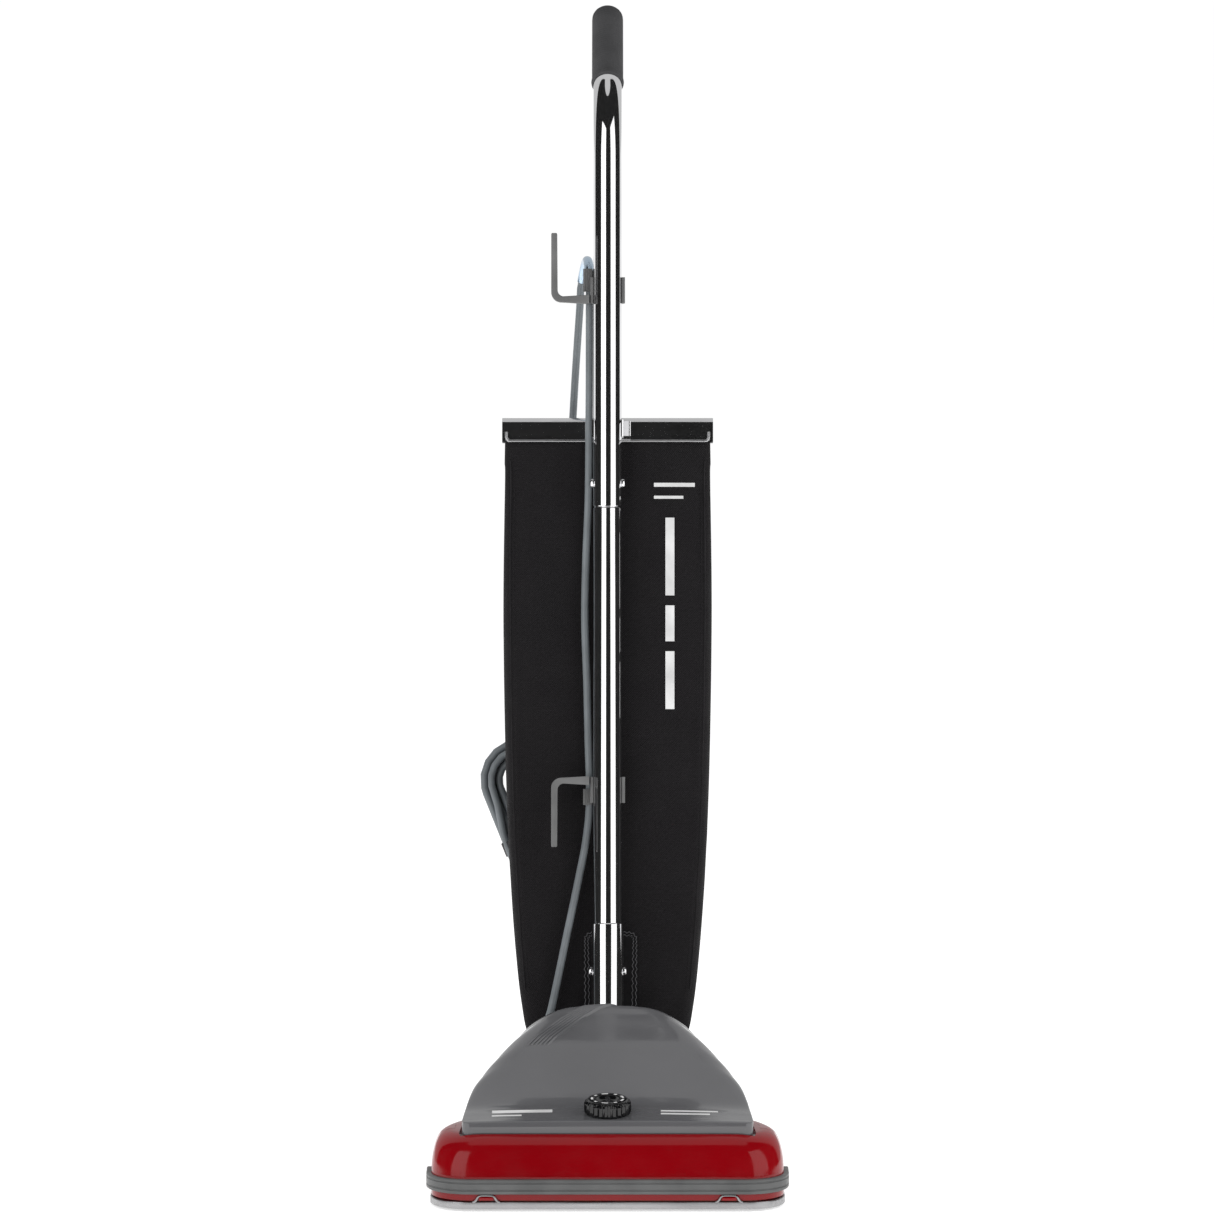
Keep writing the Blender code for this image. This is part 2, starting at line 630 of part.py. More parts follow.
def bag_collar(outlet):
    """The collar that the bag's neck is strapped to, above the duct's end."""
    profile = ring_profile(22.0, 13.6, -6.0, 16.0)
    part("bag_collar", lathe(profile, 24, at=(0.0, COLLAR_BACK, 0.0)), "hook_plastic", outlet)


# ---- wheels, height carriage, knob -----------------------------------------------------------------

def rear_wheel(base, name, side):
    axis = empty(f"{name}_axis", (0.0, REAR_D, REAR_R), base)
    near, far = REAR_X
    bore = PIVOT_R + GAP
    profile = [(bore, near), (REAR_R - 2.0, near), (REAR_R, near + 3.5), (REAR_R, far - 3.5),
               (REAR_R - 2.0, far), (25.0, far), (24.0, far - 4.0), (10.0, far - 4.0),
               (9.0, far), (bore, far), (bore, near)]
    part(name, mirrored(lathe(profile, 24, "X"), side), "wheel_rubber", axis)


def rear_axle(base, name, side):
    axle = cylinder(PIVOT_R, 72.0, 124.0, "X", at=(0.0, REAR_D, REAR_R), count=16)
    stub = part(name, mirrored(axle, side), "motor_steel", base)
    head = cylinder(6.5, 122.6, 125.5, "X", at=(0.0, REAR_D, REAR_R), count=16)
    weld(stub, mirrored(head, side))


def front_carriage(base):
    """A rocking plate behind the nozzle; the knob's cam presses on its lever."""
    hinge = empty("front_carriage_axis", (0.0, CARRIAGE_D, CARRIAGE_Z), base)
    dy, dz = FRONT_D - CARRIAGE_D, FRONT_R - CARRIAGE_Z
    plate = part("front_carriage", box((-50.0, -33.0, -2.0), (50.0, 1.0, 1.0)), "zinc_steel", hinge)
    for side in (-1, 1):
        cheek = [(dy - 4.5, dz - 4.5), (dy + 5.0, dz - 4.5), (-18.0, -2.5), (-18.0, 1.0),
                 (dy - 4.5, dz + 5.0)]
        weld(plate, mirrored(prism(cheek, 48.0, 53.0, "X"), side))
    lever = [(-34.0, -1.5), (-27.0, 1.0), (-76.0, 53.0), (-81.0, 53.0)]
    weld(plate, prism(lever, 24.0, 27.0, "X"), cylinder(3.0, -50.0, 50.0, "X", count=12))
    weld(plate, cylinder(2.5, -73.0, 73.0, "X", at=(0.0, dy, dz), count=12))


def front_wheel(base, name, side):
    axis = empty(f"{name}_axis", (0.0, FRONT_D, FRONT_R), base)
    near, far = FRONT_X
    bore = 2.5 + GAP
    profile = [(bore, near), (FRONT_R - 1.5, near), (FRONT_R, near + 1.5), (FRONT_R, far - 1.5),
               (FRONT_R - 1.5, far), (bore, far), (bore, near)]
    part(name, mirrored(lathe(profile, 16, "X"), side), "wheel_rubber", axis)


def height_knob(base):
    """The knob, its shaft through the hood and the spiral cam under it, moulded in one."""
    axis = empty("height_knob_axis", (0.0, KNOB_D, KNOB_Z), base, KNOB_TILT)
    flutes = 20
    outline = []
    for k in range(flutes * 2):
        radius = KNOB_R if k % 2 else KNOB_R - 1.2
        turn = math.radians(k * 180.0 / flutes)
        outline.append((radius * math.cos(turn), radius * math.sin(turn)))
    knob = part("height_knob", prism(outline, 1.0, 12.5), "knob_plastic", axis)
    cam = []
    for k in range(24):
        turn = math.radians(k * 15.0)
        radius = 14.0 + 9.0 * k / 24.0
        cam.append((radius * math.cos(turn), radius * math.sin(turn)))
    weld(knob, cylinder(KNOB_R - 1.6, 11.0, 15.0, count=24), cylinder(4.6, -7.0, 4.0, count=16),
         prism(cam, -8.4, -5.9))
    cut(knob, lathe([(4.0, 10.0), (11.0, 11.0), (13.5, 16.0)], 20))


# ---- pedal and switch on the tail ------------------------------------------------------------------

PEDAL_D, PEDAL_Z, PEDAL_X = 270.0, 57.0, (-88.0, -70.0)
SWITCH_X, SWITCH_D = (70.0, 90.0), (256.0, 290.0)


def release_pedal(base):
    left, right = PEDAL_X
    axis = empty("release_pedal_axis", (0.0, PEDAL_D, PEDAL_Z), base)
    side_view = [(-16.0, 3.5), (-16.0, 0.5), (-6.0, -2.5), (4.0, -4.5), (38.0, 0.0), (42.0, 3.0),
                 (38.0, 5.5), (6.0, 4.0), (-4.0, 4.5)]
    pedal = prism(side_view, left, right, "X", [circle(2.2 + GAP, 12)])
    part("release_pedal", pedal, "hook_plastic", axis)
    bracket = part("pedal_bracket", box((left - 3.5, -7.0, TAIL_TOP + GAP - PEDAL_Z),
                                        (right + 3.5, 7.0, 6.0)), "zinc_steel", axis)
    cut(bracket, box((left - 0.6, -9.0, TAIL_TOP + 1.8 - PEDAL_Z), (right + 0.6, 9.0, 8.0)))
    weld(bracket, cylinder(2.2, left - 4.6, right + 4.6, "X", count=12))


def foot_switch(base):
    left, right = SWITCH_X
    front, back = SWITCH_D
    case = part("switch_case", box((left, front, TAIL_TOP + GAP), (right, back, 64.0)),
                "hook_plastic", base)
    cut(case, box((left + 2.0, front + 2.0, 52.5), (right - 2.0, back - 2.0, 70.0)))
    gap = 0.4
    outline = superellipse((right - left) / 2.0 - 2.0 - gap, (back - front) / 2.0 - 2.0 - gap,
                           8.0, 20, ((left + right) / 2.0, (front + back) / 2.0))
    button = part("switch_button", prism(outline, 57.0, 69.0), "red_enamel", base)
    bevel(button, 1.0)


def strain_relief(outlet):
    """The tapered sleeve that the cord leaves by."""
    x, back = CORD_START[0], CORD_START[1]
    profile = [(8.0, -9.5), (8.0, -5.0), (6.6, -4.0), (5.2, 18.5), (CORD_R + GAP, 18.5),
               (CORD_R + GAP, -9.5), (8.0, -9.5)]
    part("cord_strain_relief", lathe(profile, 16, at=(x, back, 0.0)), "cord_rubber", outlet)


def pivot_yoke(base):
    """The two ears that the handle's bail turns on, joined by their foot plate."""
    low = TAIL_TOP + GAP
    yoke = part("pivot_yoke", box((-53.0, 231.0, low), (53.0, 249.0, low + 1.6)), "zinc_steel",
                base)
    outline = [(230.0, low), (250.0, low), (249.0, 66.0)]
    outline += arc((PIVOT_D, PIVOT_Z), 10.0, 25.0, 155.0, 8) + [(231.0, 66.0)]
    ear = prism(outline, 46.0, 53.0, "X")
    hole = cylinder(PIVOT_R + GAP, 40.0, 60.0, "X", at=(0.0, PIVOT_D, PIVOT_Z), count=16)
    for side in (-1, 1):
        weld(yoke, mirrored(ear, side))
        cut(yoke, mirrored(hole, side))


def pivot_pin(base, name, side):
    at = (0.0, PIVOT_D, PIVOT_Z)
    pin = part(name, mirrored(cylinder(PIVOT_R, 43.5, 65.0, "X", at=at, count=16), side),
               "motor_steel", base)
    weld(pin, mirrored(cylinder(7.0, ARM_OUT + 1.4, ARM_OUT + 4.4, "X", at=at, count=16), side))


# ---- handle ------------------------------------------------------------------------------------------

def handle_bail(handle):
    """The forged yoke and the sleeve that the tube sits in."""
    outer = [(ARM_OUT, 0.0), (ARM_OUT, 46.0)] + arc((20.0, 46.0), 42.0, 10.0, 80.0, 6)
    inner = [(ARM_IN, 0.0), (ARM_IN, 46.0)] + arc((20.0, 46.0), 35.0, 10.0, 80.0, 6)
    outer += [(-x, s) for x, s in outer[::-1]]
    inner += [(-x, s) for x, s in inner[::-1]]
    bail = part("handle_bail", prism(outer + inner[::-1], -6.5, 6.5, "Y"), "chrome", handle)
    weld(bail, cylinder(SLEEVE_R, 82.5, SLEEVE_TOP, count=18))
    for side in (-1, 1):
        weld(bail, mirrored(cylinder(9.0, ARM_IN - 0.6, ARM_OUT + 0.6, "X", count=20), side))
    for side in (-1, 1):
        cut(bail, mirrored(cylinder(PIVOT_R + GAP, 50.0, 70.0, "X", count=16), side))
    cut(bail, cylinder(TUBE_R + 0.2, TUBE_START - 0.5, 190.0, count=18))
    cut(bail, cylinder(3.0, -20.0, 20.0, "X", at=(0.0, 0.0, LOWER_BOLT), count=8))


def lower_tube(handle):
    spigot, spigot_bore, neck_end = TUBE_BORE - 0.25, TUBE_BORE - 1.4, SEAM + 40.0
    profile = [(TUBE_R, TUBE_START), (TUBE_R, SEAM - 2.0), (TUBE_R - 0.9, SEAM - 0.2),
               (spigot, SEAM), (spigot, neck_end), (spigot_bore, neck_end),
               (spigot_bore, SEAM - 6.0), (TUBE_BORE, SEAM - 8.0), (TUBE_BORE, TUBE_START),
               (TUBE_R, TUBE_START)]
    tube = part("lower_tube", lathe(profile, 18), "chrome", handle)
    for station in (LOWER_BOLT, UPPER_BOLT):
        cut(tube, cylinder(3.0, -20.0, 20.0, "X", at=(0.0, 0.0, station), count=8))


def bend_point(turn):
    """The tube's middle line in its bend, after turning so many degrees."""
    a = math.radians(turn)
    return (0.0, BEND_R * (1.0 - math.cos(a)), BEND_START + BEND_R * math.sin(a))


def grip_point(distance):
    """A point on the straight grip, measured from the end of the bend."""
    a = math.radians(BEND_ANGLE)
    _, back, up = bend_point(BEND_ANGLE)
    return (0.0, back + distance * math.sin(a), up + distance * math.cos(a))


def upper_tube(handle):
    path = [(0.0, 0.0, SEAM + GAP), (0.0, 0.0, 780.0)]
    path += [bend_point(turn) for turn in np.linspace(0.0, BEND_ANGLE, 7)]
    path += [grip_point(GRIP_LENGTH - 8.0)]
    tube = part("upper_tube", pipe(path, TUBE_R, TUBE_BORE, 18), "chrome", handle)
    cut(tube, cylinder(3.0, -20.0, 20.0, "X", at=(0.0, 0.0, UPPER_BOLT), count=8))


def hand_grip(handle):
    stations = [(0.0, GRIP_R), (GRIP_LENGTH - 6.0, GRIP_R), (GRIP_LENGTH - 2.0, GRIP_R - 1.5),
                (GRIP_LENGTH, GRIP_R - 5.0)]
    inside = [(0.0, TUBE_R + GAP), (GRIP_LENGTH - 7.0, TUBE_R + GAP)]
    outer = tube_rings([grip_point(t) for t, _ in stations], [r for _, r in stations], 20)
    inner = tube_rings([grip_point(t) for t, _ in inside], [r for _, r in inside], 20)
    part("hand_grip", skin(inner[::-1] + outer), "grip_rubber", handle)


def cross_bolt(handle, name, station, outside):
    """A bolt through the tubes from side to side, with domed heads."""
    at = (0.0, 0.0, station)
    bolt = part(name, cylinder(2.6, -outside - 1.0, outside + 1.0, "X", at=at, count=12),
                "motor_steel", handle)
    for side in (-1, 1):
        head = lathe([(4.6, outside + 0.3), (4.2, outside + 2.2), (2.4, outside + 3.6)], 12, "X")
        weld(bolt, mirrored(shift(head, at), side))


def cord_clip(handle, name, low, block_low, block_high):
    """A band round the back of the tube, with a slotted block for the cord on its left."""
    high = low + 26.0
    inside, outside = TUBE_R + GAP, TUBE_R + 3.2
    outline = arc((0.0, 0.0), outside, -14.0, 194.0, 22)
    outline += arc((0.0, 0.0), inside, 194.0, -14.0, 22)
    clip = part(name, prism(outline, low, high), "hook_plastic", handle)
    block = prism([(-24.5, 2.5), (-15.6, 2.5), (-15.0, 5.5), (-12.2, 9.0), (-10.6, 12.5),
                   (-14.0, 16.0), (-24.5, 14.6)], block_low, block_high)
    weld(clip, block)
    slack = CORD_R + 1.2
    slot = [(CLIP_X - slack, CLIP_BACK), (CLIP_X - slack, 20.0), (CLIP_X + slack, 20.0),
            (CLIP_X + slack, CLIP_BACK)]
    seat = circle(CORD_R + GAP, 14, (CLIP_X, CLIP_BACK))
    cut(clip, prism(seat, low - 60.0, high + 60.0), prism(slot, low - 60.0, high + 60.0))
    stud_up = hook_height(low, block_low)
    weld(clip, cylinder(1.8, -20.6, -16.0, "X", at=(0.0, HOOK_BACK, stud_up), count=10))


HOOK_BACK, HOOK_REACH, HOOK_RISE = -4.0, 53.2, 66.0
HOOK_DEEP, HOOK_THICK = 12.0, 6.4


def hook_height(clip_low, block_low):
    """The hook's arm is beside the half of the clip that the block leaves free."""
    return clip_low + (4.0 if block_low > clip_low else 22.0)


def cord_hook(handle, name, station, way):
    """An L-shaped hook that swivels on its arm's own axis; way is 1 up or -1 down."""
    axis = empty(f"{name}_axis", (0.0, HOOK_BACK, station), handle)
    thick = HOOK_THICK / 2.0
    outer, inner = 10.0, 4.0
    root, tip = -18.4, -HOOK_REACH - thick
    corner = (-HOOK_REACH - thick + outer, -thick + outer)
    outline = [(root, thick * 0.9), (root, -thick * 0.9)] + [(corner[0], -thick)]
    outline += arc(corner, outer, 270.0, 180.0, 6)[1:]
    outline += [(tip, HOOK_RISE), (tip + HOOK_THICK, HOOK_RISE)]
    outline += arc((tip + HOOK_THICK + 7.0, thick + 5.0), 7.0, 180.0, 245.0, 4)
    outline = [(x, z * way) for x, z in outline]
    hook = prism(outline, -HOOK_DEEP / 2.0, HOOK_DEEP / 2.0, "Y")
    hook = part(name, hook, "hook_plastic", axis)
    cut(hook, cylinder(2.1, -21.2, -10.0, "X", count=10))


def cord_guide(handle):
    """A bent wire over the upper clip that turns the cord back down behind the tube."""
    centre_back, centre_up, radius = CLIP_BACK + LOOP_R, UPPER_CLIP + 15.0, LOOP_R - CORD_R - 2.2
    path = []
    for a in np.radians(np.linspace(40.0, 150.0, 8)):
        path.append((CLIP_X - drift(a), centre_back - radius * math.cos(a),
                     centre_up + radius * math.sin(a)))
    part("cord_guide", rod(path, 1.8, 8), "zinc_steel", handle)


# ---- dust bag ------------------------------------------------------------------------------------------

BAG_STATIONS = [96.0, 150.0, 250.0, 350.0, 450.0, 545.0, 620.0, 658.0, BAG_TOP]
BAG_HALVES = [87.5, 93.0, 99.5, 102.8, 104.4, 105.0, 104.0, 103.2, 103.0]
BAG_DEPTHS = [54.0, BAG_DEPTH, BAG_DEPTH, BAG_DEPTH, 56.0, 48.0, 34.0, 19.8, 18.6]
CLOTH = 1.4


def bag_section(up, half, depth, inset=0.0, power=2.7):
    middle = BAG_FRONT + depth / 2.0
    flat = superellipse(half - inset, depth / 2.0 - inset, power, 20, (0.0, middle))
    return [(x, back, up) for x, back in flat]


def dust_bag(handle):
    stations = list(zip(BAG_STATIONS, BAG_HALVES, BAG_DEPTHS))
    outer = [bag_section(*station) for station in stations]
    inner = [bag_section(*station, CLOTH) for station in stations[:-1]]
    inner += [bag_section(BAG_TOP - CLOTH, BAG_HALVES[-1], BAG_DEPTHS[-1], CLOTH)]
    part("dust_bag", skin(inner[::-1] + outer), "bag_cloth", handle)


def bag_neck(handle):
    """The funnel between the bag and the collar; it bends as the handle tilts."""
    stations = [(4.0, 24.0, 48.0, 2.0), (14.0, 26.0, 50.0, 2.0), (40.0, 58.0, 50.0, 2.2),
                (66.0, 80.0, 52.0, 2.5), (95.6, 87.4, 54.0, 2.7)]
    rings = []
    for inset in (0.0, CLOTH):
        group = []
        for up, half, depth, power in stations:
            middle = COLLAR_BACK + (BAG_FRONT + 27.0 - COLLAR_BACK) * min(1.0, up / 66.0)
            flat = superellipse(half - inset, depth / 2.0 - inset, power, 20, (0.0, middle))
            group.append([(x, back, up) for x, back in flat])
        rings.append(group)
    part("bag_neck", skin(rings[0] + rings[1][::-1], closed=True), "bag_cloth", handle)


CHANNEL_HALF, CHANNEL_LOW, CHANNEL_HIGH = 105.8, 661.5, 686.5
CHANNEL_BACK = (18.2, 41.5)


def bag_channel(handle):
    """The chrome clamp channel over the bag's folded top, and the bracket round the tube."""
    front, back = CHANNEL_BACK
    wall = 1.2
    middle, half = (front + back) / 2.0, (back - front) / 2.0
    outer = [(front, CHANNEL_LOW), (front, CHANNEL_HIGH - 6.0)]
    outer += [(middle - half * math.cos(a), CHANNEL_HIGH - 6.0 + 6.0 * math.sin(a))
              for a in np.radians([30.0, 60.0, 90.0, 120.0, 150.0])]
    outer += [(back, CHANNEL_HIGH - 6.0), (back, CHANNEL_LOW)]
    inner_half = half - wall
    inner = [(back - wall, CHANNEL_LOW)]
    inner += [(middle + inner_half * math.cos(a), CHANNEL_HIGH - 6.5 + 5.0 * math.sin(a))
              for a in np.radians([0.0, 30.0, 60.0, 90.0, 120.0, 150.0, 180.0])]
    inner += [(front + wall, CHANNEL_LOW)]
    channel = part("bag_channel", prism(outer + inner, -CHANNEL_HALF, CHANNEL_HALF, "X"), "chrome",
                   handle)
    low, high = CHANNEL_LOW + 5.0, CHANNEL_HIGH - 3.0
    inside, outside = TUBE_R + GAP, TUBE_R + 1.8
    band = arc((0.0, 0.0), outside, -10.0, 190.0, 20) + arc((0.0, 0.0), inside, 190.0, -10.0, 20)
    tab = [(12.0, 9.0), (23.0, 5.0), (23.0, front + 0.6), (-8.0, front + 0.6), (-8.0, 15.0),
           (4.0, 15.0)]
    weld(channel, prism(band, low, high), prism(tab, low + 1.0, high - 1.0))
    cut(channel, cylinder(inside, low - 5.0, high + 5.0, count=24))


def bag_wire(handle):
    """The hanger wire along the foot of the channel, with turned-up ends."""
    back, up, half = 16.3, CHANNEL_LOW + 1.5, 97.0
    right = [(half - 20.0, back, up), (half, back, up), (half + 3.0, back, up + 1.0),
             (half + 4.5, back, up + 4.0), (half + 4.5, back, up + 9.0)]
    path = [(-x, b, s) for x, b, s in right[::-1]] + right
    part("bag_wire", rod(path, 1.4, 8), "zinc_steel", handle)


# ---- power cord ------------------------------------------------------------------------------------------
# Points are (x, back, up) in the parked handle's frame, from the strain relief to the hank.

CORD_START = (-75.5, 3.5, 19.0)
CORD_JOINT_GAP = 1.0           # between the ends of two stretches
LOWER_ROUTE = [CORD_START, (-75.2, 3.6, 36.0), (-71.5, 4.4, 54.0), (-65.0, 5.4, 72.0),
               (-57.4, 6.2, 90.0), (-49.0, 7.0, 128.0)]
RISER_ROUTE = [(-49.0, 7.0, 128.0), (-42.0, 7.4, 162.0), (-34.8, 7.8, 196.0), (-28.0, 8.0, 229.0),
               (-23.0, 8.0, 254.0), (-19.4, 8.0, 280.0), (CLIP_X, 8.0, 300.0), (CLIP_X, 8.0, 326.0),
               (-19.4, 8.4, 362.0), (-20.8, 8.8, 423.0), (-22.8, 9.0, 483.0), (-21.7, 9.0, 543.0),
               (-19.3, 9.0, 604.0), (-18.6, 9.2, 675.0), (-18.3, 8.4, 720.0), (CLIP_X, 8.0, 774.0),
               (CLIP_X, 8.0, 800.0), (CLIP_X, 8.0, 812.0)]
DROP_ROUTE = [(-28.0, 68.4, 800.0), (-31.3, 76.0, 752.0), (-34.5, 84.0, 700.0), (-40.0, 98.0, 600.0),
              (-46.0, 112.0, 500.0), (-52.0, 121.0, 440.0), (-56.0, 126.0, 394.0),
              (-57.0, 128.0, 361.0)]


def drift(turn):
    """How far the cord moves to the left in its half turn over the guide."""
    return 9.8 * (turn / math.pi) ** 2


def guide_turn(count):
    """The cord's half turn over the guide, from the clip to the drop behind."""
    points = []
    for a in np.radians(np.linspace(8.0, 172.0, count)):
        points.append((CLIP_X - drift(a), CLIP_BACK + LOOP_R - LOOP_R * math.cos(a),
                       UPPER_CLIP + 15.0 + LOOP_R * math.sin(a)))
    return points


def hank_point(along_run, across):
    """A point in the hank's plane: down its tilted run and across it to the right."""
    a = math.radians(HANK_TILT)
    return (HANK_TOP[0] + along_run * math.sin(a) + across * math.cos(a),
            HANK_TOP[1] - along_run * math.cos(a) + across * math.sin(a))


def stadium(radius, count=9):
    """The hank's outline: two straight runs and two round ends."""
    top = [(radius * math.sin(a), radius * math.cos(a))
           for a in np.radians(np.linspace(-90.0, 90.0, count))]
    points = [hank_point(-rise, x) for x, rise in top]
    return points + [hank_point(HANK_RUN + rise, -x) for x, rise in top]


def power_cord(handle):
    lower = smooth_route(LOWER_ROUTE, 16.0)
    end = Vector(lower[-1])
    back_off = (Vector(lower[-2]) - end).normalized() * CORD_JOINT_GAP
    cord_piece("cord_lower", lower[:-1] + [tuple(end + back_off)], handle)
    riser = smooth_route(RISER_ROUTE, 34.0)
    cord_piece("cord_riser", riser + guide_turn(8) + smooth_route(DROP_ROUTE, 34.0), handle)
    hank = prism(stadium(HANK_OUT), *HANK_BACK, "Y", [stadium(HANK_IN)])
    part("cord_hank", hank, "cord_rubber", handle)
    power_plug(handle)


def power_plug(handle):
    """The plug, tucked into the hank's hollow with its blades upwards."""
    x, up = hank_point(0.0, 0.0)
    middle = sum(HANK_BACK) / 2.0
    axis = empty("plug_axis", (x, middle, up), handle)
    axis.rotation_euler = (0.0, math.radians(-HANK_TILT), 0.0)
    profile = [(4.6, -62.0), (6.4, -46.0), (11.5, -42.0), (13.4, -30.0), (13.4, -4.0), (12.0, -1.0)]
    plug = part("power_plug", lathe(profile, 20), "knob_plastic", axis)
    for side in (-1, 1):
        weld(plug, box((side * 6.3 - 0.8, -3.2, -2.0), (side * 6.3 + 0.8, 3.2, 12.0)))


# ---- assembly ------------------------------------------------------------------------------------------

def build_base():
    base = empty("base_frame", (0.0, FRONT_Y, 0.0))
    outlet = empty("outlet_frame", (0.0, PIVOT_D, PIVOT_Z), base, -LEAN)
    for make in (main_housing, motor_hood, bumper_strip, nozzle_guard, bottom_cover, brush_roll,
                 drive_belt, motor, fan_housing, bearing_bridge, exhaust_duct, front_carriage,
                 height_knob, release_pedal, foot_switch, pivot_yoke):
        make(base)
    for side, word in ((-1, "left"), (1, "right")):
        guard_latch(base, f"guard_latch_{word}", side)
        roll_bearing(base, f"roll_bearing_{word}", side)
        rear_wheel(base, f"rear_wheel_{word}", side)
        rear_axle(base, f"rear_axle_{word}", side)
        front_wheel(base, f"front_wheel_{word}", side)
        pivot_pin(base, f"pivot_pin_{word}", side)
    bag_collar(outlet)
    strain_relief(outlet)
    return base


def build_handle(base):
    handle = empty("handle_frame", (0.0, PIVOT_D, PIVOT_Z), base, -LEAN)
    for make in (handle_bail, lower_tube, upper_tube, hand_grip, dust_bag, bag_neck,
                 bag_channel, bag_wire, cord_guide, power_cord):
        make(handle)
    cross_bolt(handle, "lower_bolt", LOWER_BOLT, SLEEVE_R)
    cross_bolt(handle, "upper_bolt", UPPER_BOLT, TUBE_R)
    cord_clip(handle, "lower_clip", LOWER_CLIP, LOWER_CLIP - 2.0, LOWER_CLIP + 14.0)
    cord_clip(handle, "upper_clip", UPPER_CLIP, UPPER_CLIP + 12.0, UPPER_CLIP + 35.0)
    cord_hook(handle, "lower_hook", LOWER_CLIP + 22.0, -1)
    cord_hook(handle, "upper_hook", UPPER_CLIP + 4.0, 1)


def main():
    for thing in list(bpy.data.objects):
        bpy.data.objects.remove(thing, do_unlink=True)
    build_handle(build_base())


main()
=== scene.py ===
"""The looks of the upright vacuum cleaner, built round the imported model.

Shapes are described in millimetres, in two frames. The base's frame is (x, d, z): x to the right,
d backwards from the bumper's front face, z up from the floor. The handle's frame is (x, back, up):
up runs along the tube from its pivot, and back is square to it.
"""
import json
import math

import bmesh
import bpy
import numpy as np
from mathutils import Matrix, Vector
from mathutils.geometry import tessellate_polygon


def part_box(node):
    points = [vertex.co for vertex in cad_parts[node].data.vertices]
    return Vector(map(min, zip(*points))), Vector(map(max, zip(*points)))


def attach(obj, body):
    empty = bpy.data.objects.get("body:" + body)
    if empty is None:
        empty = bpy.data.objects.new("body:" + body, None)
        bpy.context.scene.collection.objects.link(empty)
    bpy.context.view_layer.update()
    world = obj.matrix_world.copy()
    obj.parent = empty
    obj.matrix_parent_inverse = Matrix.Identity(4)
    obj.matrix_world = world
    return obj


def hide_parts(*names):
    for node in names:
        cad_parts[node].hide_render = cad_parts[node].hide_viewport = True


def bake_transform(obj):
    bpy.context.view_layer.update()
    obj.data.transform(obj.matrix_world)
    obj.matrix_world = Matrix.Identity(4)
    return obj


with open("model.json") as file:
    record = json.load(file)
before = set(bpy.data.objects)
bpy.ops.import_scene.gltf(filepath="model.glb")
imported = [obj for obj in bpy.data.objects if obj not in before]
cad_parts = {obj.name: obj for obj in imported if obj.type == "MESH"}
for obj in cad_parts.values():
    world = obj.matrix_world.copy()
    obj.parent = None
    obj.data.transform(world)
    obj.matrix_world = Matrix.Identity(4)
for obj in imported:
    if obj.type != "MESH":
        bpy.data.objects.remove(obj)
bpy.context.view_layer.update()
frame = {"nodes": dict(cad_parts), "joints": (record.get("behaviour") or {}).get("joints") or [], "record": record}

MM = 0.001
LEAN = math.radians(8.5)
JOINTS = {joint["name"]: joint for joint in frame["joints"]}
FRONT_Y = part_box("bumper_strip")[0].y
BASE = Matrix.Translation((0.0, FRONT_Y, 0.0)) @ Matrix.Scale(MM, 4)
PIVOT = Vector(JOINTS["handle_tilt"]["pos_m"])
HANDLE = Matrix.Translation(PIVOT) @ Matrix.Rotation(-LEAN, 4, "X") @ Matrix.Scale(MM, 4)

# Sizes shared by several pieces
CORD_R = 3.8
TUBE_R, SLEEVE_R = 14.3, 15.9
SEAM, LOWER_BOLT, UPPER_BOLT = 596.0, 132.0, 620.0
BEND_START, BEND_R, BEND_ANGLE = 949.0, 103.0, math.radians(45.5)
GRIP_LENGTH, GRIP_R = 112.0, 16.0
CLIP_X, CLIP_BACK, LOOP_R = -18.2, 8.0, 30.0
LOWER_CLIP, UPPER_CLIP = 300.0, 800.0
GUIDE_BACK, GUIDE_UP, GUIDE_DRIFT = CLIP_BACK + LOOP_R, UPPER_CLIP + 15.0, 9.8
TUBE_BORE_R, SWAGE_R, SWAGE_BORE_R, SWAGE_END = 13.1, 12.9, 11.7, 636.0
AXLE_HOLE_R, PIN_HOLE_R = 4.35, 4.35
SIDES = ((-1, "left"), (1, "right"))

# Places in the base's frame
REAR_WHEEL, FRONT_WHEEL = (0.0, 276.0, 38.0), (0.0, 112.0, 13.0)
PIVOT_CENTRE, PEDAL_PIVOT = (0.0, 240.0, 62.0), (0.0, 270.0, 57.0)
ROLL_D, ROLL_Z = 48.0, 28.0
SWITCH_X, SWITCH_D = 80.0, 273.0
KNOB_D, KNOB_Z, KNOB_SLOPE = 60.0, 86.8, math.radians(6.5)


# ---- flat outlines and solids, each solid a pair of (points, faces) in millimetres ---------------

def sweep(start, end, count):
    """Angles in radians from start to end in degrees, both included."""
    return np.radians(np.linspace(start, end, count))


def arc(centre, radius, start, end, count):
    return [(centre[0] + radius * math.cos(a), centre[1] + radius * math.sin(a))
            for a in sweep(start, end, count)]


def circle(radius, count=48, centre=(0.0, 0.0)):
    return arc(centre, radius, 0.0, 360.0 - 360.0 / count, count)


def superellipse(half_x, half_y, power, count, centre=(0.0, 0.0)):
    points = []
    for angle in np.radians(np.arange(count) * 360.0 / count):
        c, s = math.cos(angle), math.sin(angle)
        points.append((centre[0] + half_x * math.copysign(abs(c) ** (2.0 / power), c),
                       centre[1] + half_y * math.copysign(abs(s) ** (2.0 / power), s)))
    return points


def along(axis, flat, height):
    """Put a flat point and a height on an axis: X takes (y, z), Y takes (x, z), Z takes (x, y)."""
    a, b = flat
    return {"X": (height, a, b), "Y": (a, height, b), "Z": (a, b, height)}[axis]


